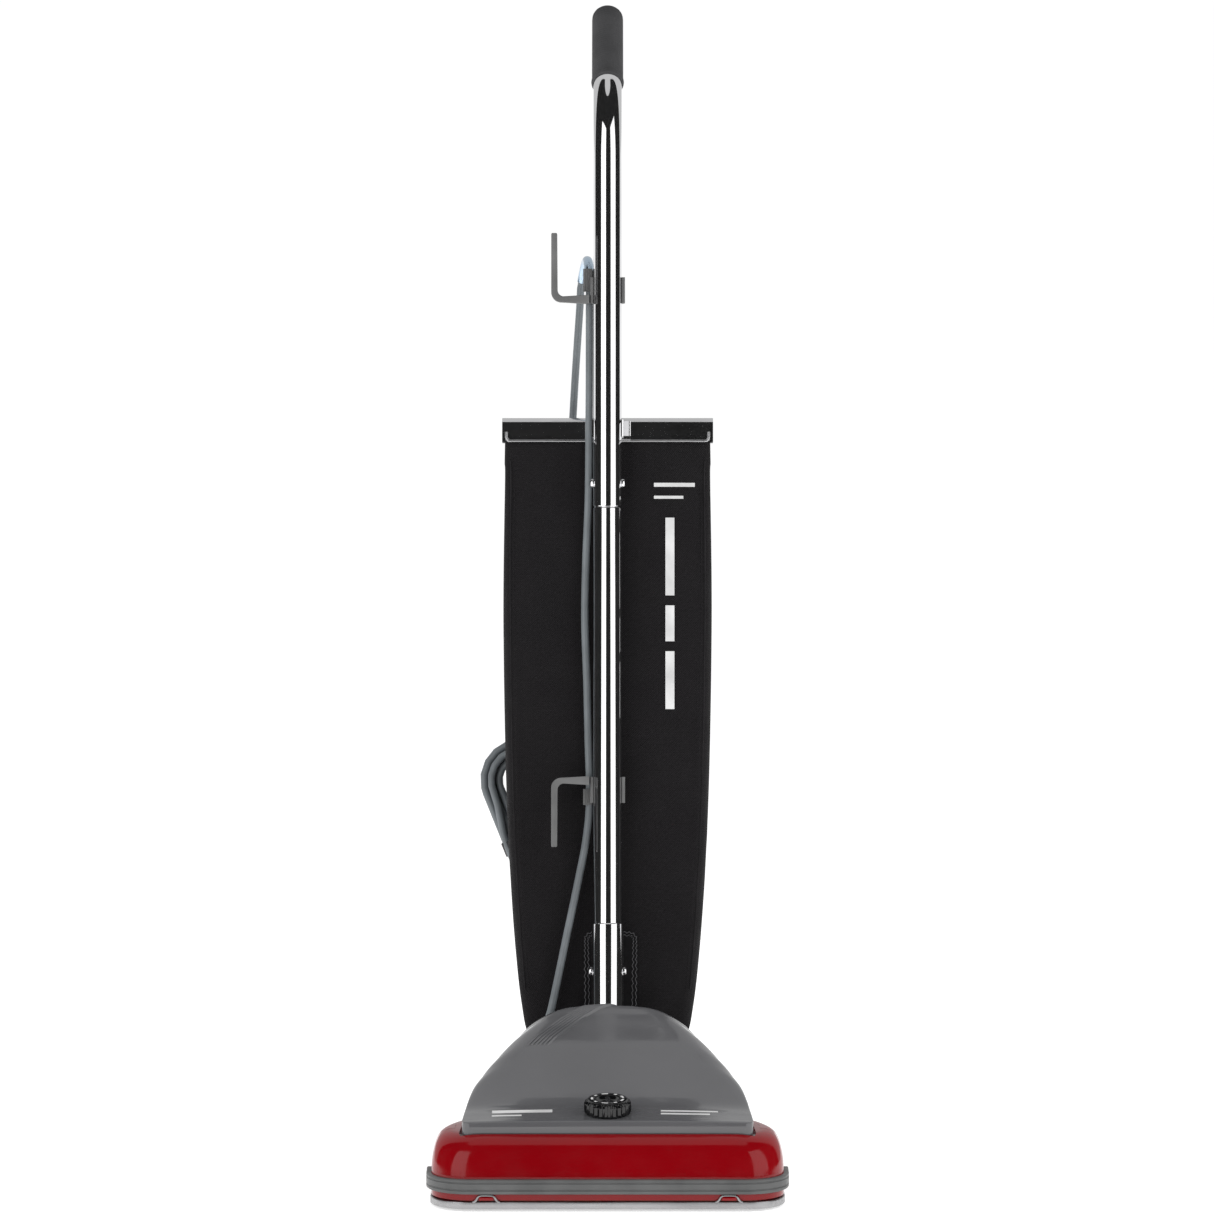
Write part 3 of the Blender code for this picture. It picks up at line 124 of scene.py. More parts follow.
def prism(outline, low, high, axis="Z", holes=()):
    """A flat outline, with holes, extruded from low to high."""
    loops = [list(outline)] + [list(hole) for hole in holes]
    flat = [point for loop in loops for point in loop]
    points = [along(axis, p, low) for p in flat] + [along(axis, p, high) for p in flat]
    total = len(flat)
    if holes:
        caps = tessellate_polygon([[Vector((*p, 0.0)) for p in loop] for loop in loops])
    else:
        caps = [tuple(range(total))]
    faces = [tuple(t) for t in caps] + [tuple(i + total for i in t) for t in caps]
    first = 0
    for loop in loops:
        count = len(loop)
        for i in range(count):
            a, b = first + i, first + (i + 1) % count
            faces.append((a, b, b + total, a + total))
        first += count
    return points, faces


def box(low, high):
    x, y = (low[0], high[0]), (low[1], high[1])
    return prism([(x[0], y[0]), (x[1], y[0]), (x[1], y[1]), (x[0], y[1])], low[2], high[2])


def skin(rings, closed=False, caps=True):
    """Join rings of equal length; the two end rings are capped, or joined when closed."""
    count = len(rings[0])
    points = [p for ring in rings for p in ring]
    faces = []
    for k in range(len(rings) if closed else len(rings) - 1):
        here, there = k * count, ((k + 1) % len(rings)) * count
        for i in range(count):
            j = (i + 1) % count
            faces.append((here + i, here + j, there + j, there + i))
    if caps and not closed:
        last = (len(rings) - 1) * count
        faces += [tuple(range(count)), tuple(range(last, last + count))]
    return points, faces


def grid_faces(columns, rows):
    """Quads over a grid of points given row by row, with that many steps each way."""
    faces = []
    for j in range(rows):
        for i in range(columns):
            a = j * (columns + 1) + i
            faces.append((a, a + 1, a + columns + 2, a + columns + 1))
    return faces


def lathe(profile, count=48, axis="Z", at=(0.0, 0.0, 0.0)):
    """Turn (radius, height) points about an axis. Open ends are capped; a loop is a ring."""
    ring_like = profile[0] == profile[-1]
    outline = profile[:-1] if ring_like else profile
    rings = [[along(axis, p, height) for p in circle(radius, count)] for radius, height in outline]
    return shift(skin(rings, closed=ring_like), at)


def ring_profile(outer, inner, low, high):
    return [(outer, low), (outer, high), (inner, high), (inner, low), (outer, low)]


def cylinder(radius, low, high, axis="Z", at=(0.0, 0.0, 0.0), count=48):
    return lathe([(radius, low), (radius, high)], count, axis, at)


def shift(solid, offset):
    points, faces = solid
    return [tuple(a + b for a, b in zip(p, offset)) for p in points], faces


def mirrored(solid, side):
    points, faces = solid
    return [(p[0] * side, p[1], p[2]) for p in points], faces


def together(*solids):
    """Several solids in one mesh, each still its own closed skin."""
    points, faces = [], []
    for more_points, more_faces in solids:
        first = len(points)
        points += more_points
        faces += [tuple(i + first for i in face) for face in more_faces]
    return points, faces


def frames_on(path):
    """A square frame at each point of a path, carried along without twisting."""
    path = [Vector(p) for p in path]
    tangents = []
    for i in range(len(path)):
        before, after = path[max(i - 1, 0)], path[min(i + 1, len(path) - 1)]
        tangents.append((after - before).normalized())
    side = tangents[0].orthogonal().normalized()
    frames = []
    for tangent in tangents:
        side = (side - tangent * side.dot(tangent)).normalized()
        frames.append((side, tangent.cross(side)))
    return path, frames


def tube_rings(path, radius, count):
    path, frames = frames_on(path)
    radii = [radius] * len(path) if isinstance(radius, (int, float)) else radius
    rings = []
    for point, (side, up), r in zip(path, frames, radii):
        rings.append([tuple(point + side * a + up * b) for a, b in circle(r, count)])
    return rings


def rod(path, radius, count=24):
    return skin(tube_rings(path, radius, count))


def pipe(path, radius, bore, count=64):
    return skin(tube_rings(path, radius, count) + tube_rings(path, bore, count)[::-1], closed=True)


def smooth_route(points, step):
    """Points about a step apart on a smooth curve through the given ones (Catmull-Rom)."""
    given = [Vector(p) for p in points]
    given = [given[0] * 2 - given[1]] + given + [given[-1] * 2 - given[-2]]
    route = []
    for i in range(1, len(given) - 2):
        p0, p1, p2, p3 = given[i - 1:i + 3]
        pieces = max(1, round((p2 - p1).length / step))
        for k in range(pieces):
            t = k / pieces
            route.append(0.5 * ((2 * p1) + (p2 - p0) * t
                                + (2 * p0 - 5 * p1 + 4 * p2 - p3) * t ** 2
                                + (3 * p1 - p0 - 3 * p2 + p3) * t ** 3))
    return [tuple(p) for p in route] + [tuple(given[-2])]


# ---- Blender objects -----------------------------------------------------------------------------

def solid_object(name, solid, place):
    points, faces = solid
    mesh = bpy.data.meshes.new(name)
    mesh.from_pydata([place @ Vector(p) for p in points], [], faces)
    shape = bmesh.new()
    shape.from_mesh(mesh)
    bmesh.ops.recalc_face_normals(shape, faces=shape.faces)
    shape.to_mesh(mesh)
    shape.free()
    thing = bpy.data.objects.new(name, mesh)
    bpy.context.scene.collection.objects.link(thing)
    return thing


def settle(thing):
    """Apply a piece's modifiers to its mesh."""
    depsgraph = bpy.context.evaluated_depsgraph_get()
    mesh = bpy.data.meshes.new_from_object(thing.evaluated_get(depsgraph))
    thing.modifiers.clear()
    thing.data = mesh


def change(thing, operation, place, *solids):
    """Cut solids from a piece, or weld them on."""
    for solid in solids:
        helper = solid_object("helper", solid, place)
        step = thing.modifiers.new("change", "BOOLEAN")
        step.operation = operation
        step.solver = "EXACT"
        step.object = helper
        settle(thing)
        bpy.data.objects.remove(helper, do_unlink=True)


def bevel(thing, width, segments=3, angle=30.0):
    step = thing.modifiers.new("bevel", "BEVEL")
    step.width = width * MM
    step.segments = segments
    step.limit_method = "ANGLE"
    step.angle_limit = math.radians(angle)
    step.harden_normals = False
    settle(thing)


def thicken(thing, thickness, offset):
    step = thing.modifiers.new("thick", "SOLIDIFY")
    step.thickness = thickness * MM
    step.offset = offset
    settle(thing)


def smooth(thing, angle=35.0):
    thing.data.shade_smooth()
    thing.data.set_sharp_from_angle(angle=math.radians(angle))


def piece(name, solid, place, look, body, slot, replaces=(), round_edges=0.0, cuts=(), welds=(),
          angle=35.0):
    """A finished piece: its shape, its material, and the body that it rides on."""
    thing = solid_object(name, solid, place)
    change(thing, "UNION", place, *welds)
    change(thing, "DIFFERENCE", place, *cuts)
    if round_edges:
        bevel(thing, round_edges)
    smooth(thing, angle)
    thing.data.materials.clear()
    thing.data.materials.append(look)
    if body:
        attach(thing, body)
    if replaces:
        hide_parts(*replaces)
    return thing


def on_base(name, solid, slot, *options, **more):
    """A piece fixed to the base, in its slot's own look."""
    return piece(name, solid, BASE, LOOKS[slot], "base", slot, *options, **more)


def on_handle(name, solid, slot, *options, **more):
    """A piece fixed to the handle, in its slot's own look."""
    return piece(name, solid, HANDLE, LOOKS[slot], "handle", slot, *options, **more)


# ---- materials -----------------------------------------------------------------------------------

class Look:
    """A Principled material, to which procedural detail is added."""

    def __init__(self, name, colour, roughness, metallic=0.0, **sockets):
        self.material = bpy.data.materials.new(name)
        self.material.use_nodes = True
        self.tree = self.material.node_tree
        self.shader = self.tree.nodes["Principled BSDF"]
        self.colour = colour
        self.shader.inputs["Base Color"].default_value = (*colour, 1.0)
        self.shader.inputs["Roughness"].default_value = roughness
        self.shader.inputs["Metallic"].default_value = metallic
        for socket, value in sockets.items():
            self.shader.inputs[socket.replace("_", " ")].default_value = value
        self.place = self.tree.nodes.new("ShaderNodeTexCoord")
        self.last_bump = None

    def node(self, kind, links=(), **values):
        made = self.tree.nodes.new(kind)
        for socket, value in values.items():
            made.inputs[socket.replace("_", " ")].default_value = value
        for socket, output in links:
            self.tree.links.new(output, made.inputs[socket])
        return made

    def coordinates(self, stretch=(1.0, 1.0, 1.0), source="Object", turn=0.0):
        mapping = self.node("ShaderNodeMapping", [("Vector", self.place.outputs[source])],
                            Scale=stretch, Rotation=(0.0, 0.0, turn))
        return mapping.outputs["Vector"]

    def noise(self, scale, detail=3.0, stretch=(1.0, 1.0, 1.0), source="Object"):
        vector = self.coordinates(stretch, source)
        made = self.node("ShaderNodeTexNoise", [("Vector", vector)], Scale=scale, Detail=detail)
        return made.outputs["Fac"]

    def remap(self, value, low, high, to_low, to_high):
        made = self.node("ShaderNodeMapRange", [("Value", value)], From_Min=low, From_Max=high,
                         To_Min=to_low, To_Max=to_high)
        return made.outputs["Result"]

    def math(self, operation, a, b):
        made = self.tree.nodes.new("ShaderNodeMath")
        made.operation = operation
        for number, value in enumerate((a, b)):
            if isinstance(value, (int, float)):
                made.inputs[number].default_value = value
            else:
                self.tree.links.new(value, made.inputs[number])
        return made.outputs["Value"]

    def vary_colour(self, value, dark, light, low=0.35, high=0.65):
        """Run the base colour from dark to light times the plain one."""
        ramp = self.tree.nodes.new("ShaderNodeValToRGB")
        for stop, position, share in zip(ramp.color_ramp.elements, (low, high), (dark, light)):
            stop.position = position
            stop.color = (*(channel * share for channel in self.colour), 1.0)
        self.tree.links.new(value, ramp.inputs["Fac"])
        self.tree.links.new(ramp.outputs["Color"], self.shader.inputs["Base Color"])
        return self

    def vary_roughness(self, value, rough_low, rough_high, low=0.35, high=0.65):
        result = self.remap(value, low, high, rough_low, rough_high)
        self.tree.links.new(result, self.shader.inputs["Roughness"])
        return self

    def bump(self, height, depth, strength=1.0):
        """Add a bump of that depth in metres on top of the ones before it."""
        made = self.node("ShaderNodeBump", [("Height", height)], Strength=strength, Distance=depth)
        if self.last_bump:
            self.tree.links.new(self.last_bump, made.inputs["Normal"])
        self.last_bump = made.outputs["Normal"]
        self.tree.links.new(self.last_bump, self.shader.inputs["Normal"])
        return self


def gloss_look(name, colour, roughness, coat=0.5, peel=0.00003, specular=0.5):
    """Glossy paint or plastic: even colour, a slight orange peel and fine handling marks."""
    look = Look(name, colour, roughness, Coat_Weight=coat, Coat_Roughness=0.05,
                Specular_IOR_Level=specular)
    look.vary_colour(look.noise(9.0, 4.0), 0.94, 1.05)
    look.vary_roughness(look.noise(45.0, 6.0), roughness * 0.75, roughness * 1.5)
    return look.bump(look.noise(260.0, 2.0), peel).material


def moulded_look(name, colour, roughness, grain=900.0, depth=0.00008, specular=0.35):
    """Moulded plastic, vinyl or rubber with a fine even grain."""
    look = Look(name, colour, roughness, Specular_IOR_Level=specular)
    look.vary_colour(look.noise(30.0, 5.0), 0.85, 1.12)
    look.vary_roughness(look.noise(80.0, 4.0), roughness * 0.85, min(1.0, roughness * 1.15))
    return look.bump(look.noise(grain, 3.0), depth).material


def metal_look(name, colour, roughness, stretch=(1.0, 1.0, 1.0), scale=60.0, depth=0.00001):
    """Bare or plated metal; the noise is stretched along its brushing."""
    look = Look(name, colour, roughness, 1.0)
    look.vary_colour(look.noise(14.0, 4.0), 0.93, 1.04)
    streaks = look.noise(scale, 5.0, stretch)
    look.vary_roughness(streaks, roughness * 0.7, roughness * 1.4)
    return look.bump(streaks, depth).material


def cloth_look():
    """Black twill: diagonal ribs of crossing threads, faint lint and a soft sheen."""
    look = Look("bag_twill", (0.0068, 0.0062, 0.0068), 0.85, Sheen_Weight=0.05, Sheen_Roughness=0.45,
                Specular_IOR_Level=0.14)
    threads = []
    for turn in (0.0, 0.5 * math.pi, 0.25 * math.pi):
        wave = look.node("ShaderNodeTexWave", [("Vector", look.coordinates(source="UV", turn=turn))],
                         Scale=190.0, Distortion=0.6, Detail=1.0)
        threads.append(wave.outputs["Fac"])
    weave = look.math("MULTIPLY", look.math("ADD", threads[0], threads[1]), threads[2])
    lint = look.noise(320.0, 6.0, source="UV")
    look.vary_colour(look.math("ADD", weave, lint), 0.7, 1.75, 0.5, 1.6)
    look.vary_roughness(look.noise(20.0, 3.0, source="UV"), 0.74, 0.9)
    look.bump(look.noise(26.0, 3.0, source="UV"), 0.0006, 0.5)
    return look.bump(weave, 0.00035, 0.8).material


def wood_look():
    look = Look("roll_beech", (0.42, 0.25, 0.12), 0.42, Coat_Weight=0.3, Coat_Roughness=0.2)
    grain = look.noise(60.0, 8.0, (0.08, 1.0, 1.0))
    look.vary_colour(grain, 0.62, 1.15)
    look.vary_roughness(grain, 0.35, 0.55)
    return look.bump(grain, 0.0001).material


def copper_look():
    look = Look("armature", (0.42, 0.2, 0.1), 0.38, 1.0)
    winding = look.noise(200.0, 4.0, (1.0, 0.1, 1.0))
    look.vary_colour(winding, 0.5, 1.2)
    return look.bump(winding, 0.0004).material


LOOKS = {
    "red_enamel": gloss_look("red_enamel", (0.205, 0.0006, 0.003), 0.12, 0.1, specular=0.32),
    "grey_hood": gloss_look("hood_grey", (0.098, 0.098, 0.103), 0.14, 0.3),
    "grey_rubber": moulded_look("bumper_vinyl", (0.098, 0.1, 0.1), 0.42),
    "zinc_plate": metal_look("zinc_plate", (0.4, 0.4, 0.405), 0.32, (0.05, 1.0, 1.0), 220.0, 0.00001),
    "red_latch": gloss_look("red_latch", (0.3, 0.006, 0.012), 0.25, 0.2),
    "chrome_tube": metal_look("chrome_tube", (0.83, 0.83, 0.84), 0.045, scale=24.0, depth=0.0000004),
    "chrome_channel": metal_look("chrome_channel", (0.72, 0.72, 0.73), 0.09, scale=24.0,
                                 depth=0.000001),
    "blue_zinc": metal_look("blue_zinc", (0.5, 0.62, 0.74), 0.2, scale=130.0),
    "grip_vinyl": moulded_look("grip_vinyl", (0.043, 0.043, 0.045), 0.72, 700.0, 0.00018),
    "hook_plastic": moulded_look("hook_plastic", (0.125, 0.125, 0.125), 0.42),
    "bag_cloth": cloth_look(),
    "cord_jacket": moulded_look("cord_jacket", (0.135, 0.15, 0.16), 0.38, 1200.0, 0.00005, 0.5),
    "plug_black": moulded_look("plug_black", (0.012, 0.012, 0.013), 0.38),
    "knob_black": gloss_look("knob_black", (0.004, 0.004, 0.0045), 0.09, 0.1),
    "wheel_tread": moulded_look("wheel_rubber", (0.022, 0.022, 0.023), 0.62),
    "black_moulding": moulded_look("black_moulding", (0.02, 0.02, 0.021), 0.45),
    "switch_red": gloss_look("switch_red", (0.32, 0.01, 0.01), 0.22, 0.3),
    "roll_wood": wood_look(),
    "bristle": moulded_look("bristle", (0.02, 0.02, 0.02), 0.7),
    "belt_rubber": moulded_look("belt_rubber", (0.015, 0.015, 0.015), 0.65),
    "motor_steel": metal_look("motor_steel", (0.4, 0.4, 0.41), 0.34, (1.0, 0.1, 1.0), 200.0),
    "armature_iron": copper_look(),
    "bridge_alloy": metal_look("cast_alloy", (0.55, 0.55, 0.56), 0.48, scale=160.0, depth=0.0001),
    "brush_carbon": moulded_look("brush_carbon", (0.02, 0.02, 0.02), 0.55),
}
PRINT_WHITE = moulded_look("print_white", (0.62, 0.62, 0.62), 0.5)
THREAD = moulded_look("grey_thread", (0.11, 0.11, 0.115), 0.7)
PATCH_CLOTH = moulded_look("patch_cloth", (0.0085, 0.008, 0.0088), 0.8, 1500.0, 0.00025, 0.14)
BLACK_THREAD = moulded_look("black_thread", (0.013, 0.012, 0.013), 0.8, specular=0.15)

for part in frame["record"]["subparts"]:
    node = frame["nodes"][part["node"]]
    node.data.materials.clear()
    node.data.materials.append(LOOKS[part["material_slot"]])
    smooth(node)


# ---- camera, light and floor ---------------------------------------------------------------------

CAMERA_RISE, CAMERA_DISTANCE, CAMERA_LENS = 7.36, 8.0, 242.0
WORLD_LIGHT, FLOOR_GLOW = 0.62, 0.43


def round_the_front(turn, radius, height):
    """A point at a compass angle from the camera's side; positive is to the left."""
    a = math.radians(turn)
    return Vector((-radius * math.sin(a), -radius * math.cos(a), height))


def dark_screen():
    """A dark studio wall in front, which only reflections see."""
    low, high, radius = 0.02, 16.0, 4.2
    turns = np.linspace(-118.0, 118.0, 40)
    points = [round_the_front(turn, radius, z) for turn in turns for z in (low, high)]
    faces = [(2 * i, 2 * i + 1, 2 * i + 3, 2 * i + 2) for i in range(len(turns) - 1)]
    screen = solid_object("dark_screen", (points, faces), Matrix.Identity(4))
    cloth = Look("dark_screen", (0.012, 0.012, 0.012), 1.0)
    cloth.vary_colour(cloth.noise(2.0), 0.8, 1.2)
    screen.data.materials.append(cloth.material)
    screen.visible_camera = False
    screen.visible_diffuse = False
    screen.visible_shadow = False


def panel(name, start, end, heights, radiance, radius=2.6, reflected=True):
    """A flat softbox that spans the compass angles from start to end."""
    a, b = round_the_front(start, radius, 0.0), round_the_front(end, radius, 0.0)
    low, high = heights
    light = bpy.data.lights.new(name, "AREA")
    light.shape = "RECTANGLE"
    light.size, light.size_y = (b - a).length, high - low
    light.energy = radiance * math.pi * light.size * light.size_y
    thing = bpy.data.objects.new(name, light)
    middle = (a + b) / 2.0
    thing.location = (middle.x, middle.y, (low + high) / 2.0)
    thing.rotation_euler = Vector((-middle.x, -middle.y, 0.0)).to_track_quat("-Z", "Y").to_euler()
    thing.visible_glossy = reflected
    bpy.context.scene.collection.objects.link(thing)


def stage_and_camera():
    aim = Vector((0.0, FRONT_Y + 0.15, 0.5736))
    elevation, distance = math.radians(CAMERA_RISE), CAMERA_DISTANCE
    away = Vector((0.0, -math.cos(elevation), math.sin(elevation)))
    camera = bpy.data.objects.new("camera", bpy.data.cameras.new("camera"))
    camera.location = aim + away * distance
    camera.rotation_euler = (-away).to_track_quat("-Z", "Y").to_euler()
    camera.data.sensor_width = 36.0
    camera.data.lens = CAMERA_LENS
    camera.data.shift_x = -0.0005
    camera.data.clip_end = 60.0
    bpy.context.scene.collection.objects.link(camera)
    bpy.context.scene.camera = camera

    far = 45.0
    corners = [(-far, -far, 0.0), (far, -far, 0.0), (far, far, 0.0), (-far, far, 0.0)]
    floor = solid_object("floor", (corners, [(0, 1, 2, 3)]), Matrix.Identity(4))
    floor_look = Look("floor_paint", (0.95, 0.95, 0.95), 0.9, Emission_Color=(1.0, 1.0, 1.0, 1.0),
                      Emission_Strength=FLOOR_GLOW, Specular_IOR_Level=0.0)
    floor_look.vary_colour(floor_look.noise(3.0, 2.0), 0.99, 1.0)
    floor.data.materials.append(floor_look.material)

    world = bpy.data.worlds.new("studio")
    world.use_nodes = True
    world.node_tree.nodes["Background"].inputs["Color"].default_value = (1.0, 1.0, 1.0, 1.0)
    world.node_tree.nodes["Background"].inputs["Strength"].default_value = WORLD_LIGHT
    bpy.context.scene.world = world
    bpy.context.scene.view_settings.view_transform = "Standard"

    dark_screen()
    panel("softbox_left", 15.0, 56.0, (0.15, 3.1), 1.5)
    panel("softbox_right", -27.0, -70.0, (0.15, 3.1), 1.35)
    for side in (-1, 1):
        panel(f"side_fill_{'right' if side < 0 else 'left'}", side * 82.0, side * 112.0, (0.1, 2.6),
              2.5, reflected=False)


stage_and_camera()


# ---- base: housing, hood, bumper and sole plate --------------------------------------------------

HOUSING_HALF, BUMPER_HALF, HOUSING_FRONT = 172.0, 177.0, 5.0
HOUSING_LOW, CORNER = 10.8, 38.0
TAIL_HALF, TAIL_END, TAIL_TOP, WALL = 92.0, 300.0, 50.0, 3.0
HOOD_SKIRT, HOOD_BAND, HOOD_WALL, HOOD_NOSE = 69.8, 82.6, 2.6, 7.0
GUARD_LOOP_X = 118.0


def housing_outline(half, front, end=TAIL_END, corner=CORNER):
    """The housing in plan: a wide nozzle with round front corners, narrowing to a tail."""
    tail = TAIL_HALF - (HOUSING_HALF - half)
    waist = [(0.0, 60.0), (0.0, 72.0), (-4.0, 86.0), (-13.0, 103.0), (-30.0, 121.0), (-54.0, 139.0)]
    side = [(half + dx, d, 0.0) for dx, d in waist]
    side += [(tail + 6.0, 160.0, 0.0), (tail, 182.0, 0.0), (tail, 200.0, 0.0)]
    right = [(x, front) for x in np.linspace(0.0, half - corner, 8, endpoint=False)]
    right += arc((half - corner, front + corner), corner, -90.0, 0.0, 19)
    right += [(p[0], p[1]) for p in smooth_route(side, 5.0)]
    right += arc((tail - 10.0, end - 10.0), 10.0, 0.0, 90.0, 9)
    right += [(0.0, end)]
    return right + [(-x, d) for x, d in right[-2:0:-1]]


def housing_rings(levels, end=TAIL_END):
    return [[(x, d, z) for x, d in housing_outline(half, front, end)] for z, half, front in levels]


def main_housing():
    """The red shell: steep front, rounded shoulder, a seat for the hood and a low tail."""
    shoulder = [(33.0, 172.0, 5.0), (45.0, 171.2, 7.0), (55.0, 169.2, 10.6), (62.0, 166.6, 15.2),
                (67.5, 162.6, 21.2), (71.0, 156.6, 28.4), (72.0, 149.0, 36.0)]
    levels = [(HOUSING_LOW, 172.0, 5.0), (22.0, 172.0, 5.0)] + smooth_route(shoulder, 2.2)
    inner = [(5.0, 168.6, 8.4), (34.0, 168.6, 8.4), (54.0, 165.6, 14.4), (66.0, 158.6, 25.4),
             (69.0, 152.0, 32.0)]
    tail_inner = TAIL_HALF - WALL
    cavity = skin(housing_rings(inner, 224.0))
    tail_cavity = box((-tail_inner, 150.0, 4.0), (tail_inner, TAIL_END - WALL, TAIL_TOP - WALL))
    above_tail = box((-200.0, 228.0, TAIL_TOP), (200.0, 320.0, 90.0))
    under_hood = prism(superellipse(112.0, 92.5, 5.0, 64, (0.0, 129.5)), 60.0, 80.0)
    seat = [(x * 1.018, d - 2.6) for x, d in hood_outline() if d < 118.0]
    hood_seat = prism(seat, 68.6, 80.0)
    duct_hole = cylinder(24.0, 40.0, 60.0, at=(0.0, 283.0, 0.0))
    cuts = [cavity, tail_cavity, above_tail, under_hood, hood_seat, duct_hole]
    for side in (-1, 1):
        cuts.append(mirrored(cylinder(AXLE_HOLE_R, 70.0, 100.0, "X", REAR_WHEEL, 24), side))
    on_base("housing_shell", skin(housing_rings(levels)), "red_enamel", ["main_housing"], 0.9, cuts)
    tabs = []
    for side in (-1, 1):
        tabs.append(mirrored(box((GUARD_LOOP_X - 7.0, 1.5, 11.3), (GUARD_LOOP_X + 7.0, 7.0, 14.6)),
                             side))
        boss = ring_profile(6.0, 3.3, HOUSING_LOW, 68.0)
        tabs.append(shift(lathe(boss, 32), (side * 120.0, 104.0, 0.0)))
    on_base("housing_tabs_and_bosses", together(*tabs), "red_enamel", round_edges=0.6)


# At each station: the height of the flat facet along the middle, the height of the dome that it
# is cut from, the half width at the foot, and the power of the dome's cross-section
HOOD_D = [33.4, 36.0, 60.0, 85.0, 110.0, 132.0, 150.0, 172.0, 190.0, 204.0, 218.0, 228.5]
HOOD_FACET = [82.6, 84.4, 87.4, 91.8, 106.0, 123.5, 138.2, 150.5, 161.0, 167.5, 146.0, 116.0]
HOOD_DOME = [84.2, 86.6, 90.4, 96.5, 110.5, 131.0, 151.0, 164.0, 170.5, 169.0, 147.0, 117.0]
HOOD_HALF = [140.5, 142.0, 141.0, 139.0, 136.0, 132.5, 128.0, 118.0, 107.0, 103.0, 94.0, 86.0]
HOOD_POWER = [7.0, 7.0, 6.0, 5.0, 4.2, 2.8, 2.25, 2.2, 2.2, 2.3, 2.3, 2.5]
RIDGE_ROUND = 4.5


def smooth_value(stations, values, at):
    """A value read from a smooth curve through the stations (Catmull-Rom on uneven steps)."""
    i = int(np.clip(np.searchsorted(stations, at) - 1, 0, len(stations) - 2))
    t = (at - stations[i]) / (stations[i + 1] - stations[i])

    def slope(k):
        low, high = max(k - 1, 0), min(k + 1, len(stations) - 1)
        return (values[high] - values[low]) / (stations[high] - stations[low])

    step = stations[i + 1] - stations[i]
    h00, h10 = 2 * t ** 3 - 3 * t ** 2 + 1, t ** 3 - 2 * t ** 2 + t
    h01, h11 = -2 * t ** 3 + 3 * t ** 2, t ** 3 - t ** 2
    return h00 * values[i] + h10 * step * slope(i) + h01 * values[i + 1] + h11 * step * slope(i + 1)


def hood_values(d):
    return (smooth_value(HOOD_D, HOOD_DOME, d), smooth_value(HOOD_D, HOOD_HALF, d),
            smooth_value(HOOD_D, HOOD_POWER, d))


def under_facet(z, x, d):
    """The lower of the dome and the flat facet, with a rounded ridge where they meet."""
    facet = smooth_value(HOOD_D, HOOD_FACET, d) - 0.00012 * x * x
    overlap = max(RIDGE_ROUND - abs(z - facet), 0.0) / RIDGE_ROUND
    return min(z, facet) - overlap * overlap * RIDGE_ROUND / 4.0


def hood_height(x, d):
    """The hood's outer surface above a point in plan."""
    top, half, power = hood_values(d)
    share = min(abs(x) / half, 1.0)
    return under_facet(HOOD_BAND + (top - HOOD_BAND) * (1.0 - share ** power) ** (1.0 / power), x, d)


def hood_section(d, inset=0.0, low=HOOD_SKIRT, count=72):
    """The arch at d: a short upright band at each side, and the domed top between."""
    top, half, power = hood_values(d)
    half, top, band = half - inset, top - inset, HOOD_BAND - inset
    points = [(-half, d, low), (-half, d, 0.5 * (low + band))]
    for angle in sweep(180.0, 0.0, count):
        c, s = math.cos(angle), math.sin(angle)
        x = half * math.copysign(abs(c) ** (2.0 / power), c)
        z = band + (top - band) * max(s, 0.0) ** (2.0 / power)
        points.append((x, d, under_facet(z + inset, x, d) - inset))
    return points + [(half, d, 0.5 * (low + band)), (half, d, low)]


def hood_outline():
    """The hood's foot in plan, right side first."""
    stations = np.linspace(HOOD_D[0], HOOD_D[-1], 40)
    right = [(smooth_value(HOOD_D, HOOD_HALF, d), d) for d in stations]
    return right + [(-x, d) for x, d in right[::-1]]


def hood_front_rings():
    """The front wall, with its rounded upright corners and upper edge."""
    rings = []
    for turn in np.radians([0.0, 18.0, 36.0, 54.0, 72.0]):
        inset, forward = HOOD_NOSE * (1.0 - math.sin(turn)), HOOD_NOSE * (1.0 - math.cos(turn))
        shaped = []
        for x, _, z in hood_section(HOOD_D[0] + HOOD_NOSE):
            lift = min(1.0, max(0.0, z - HOOD_BAND + 3.0) / 8.0)
            shaped.append((x * (1.0 - inset / 141.0), HOOD_D[0] + forward, z - inset * 0.55 * lift))
        rings.append(shaped)
    return rings


def motor_hood():
    outer = hood_front_rings()
    outer += [hood_section(d) for d in np.linspace(HOOD_D[0] + HOOD_NOSE, 226.0, 62)]
    outer.append(hood_section(HOOD_D[-1]))
    inner = [hood_section(d, HOOD_WALL, HOOD_SKIRT - 9.0) for d in np.linspace(37.0, 225.5, 30)]
    knob_hole = cylinder(5.4, 70.0, 100.0, at=(0.0, KNOB_D, 0.0))
    cable_notch = box((-66.0, 216.0, 60.0), (66.0, 240.0, 84.0))
    on_base("hood_shell", skin(outer), "grey_hood", ["motor_hood"],
            cuts=[skin(inner), knob_hole, cable_notch], angle=32.0)
    hood_ribs()
    hood_marks()


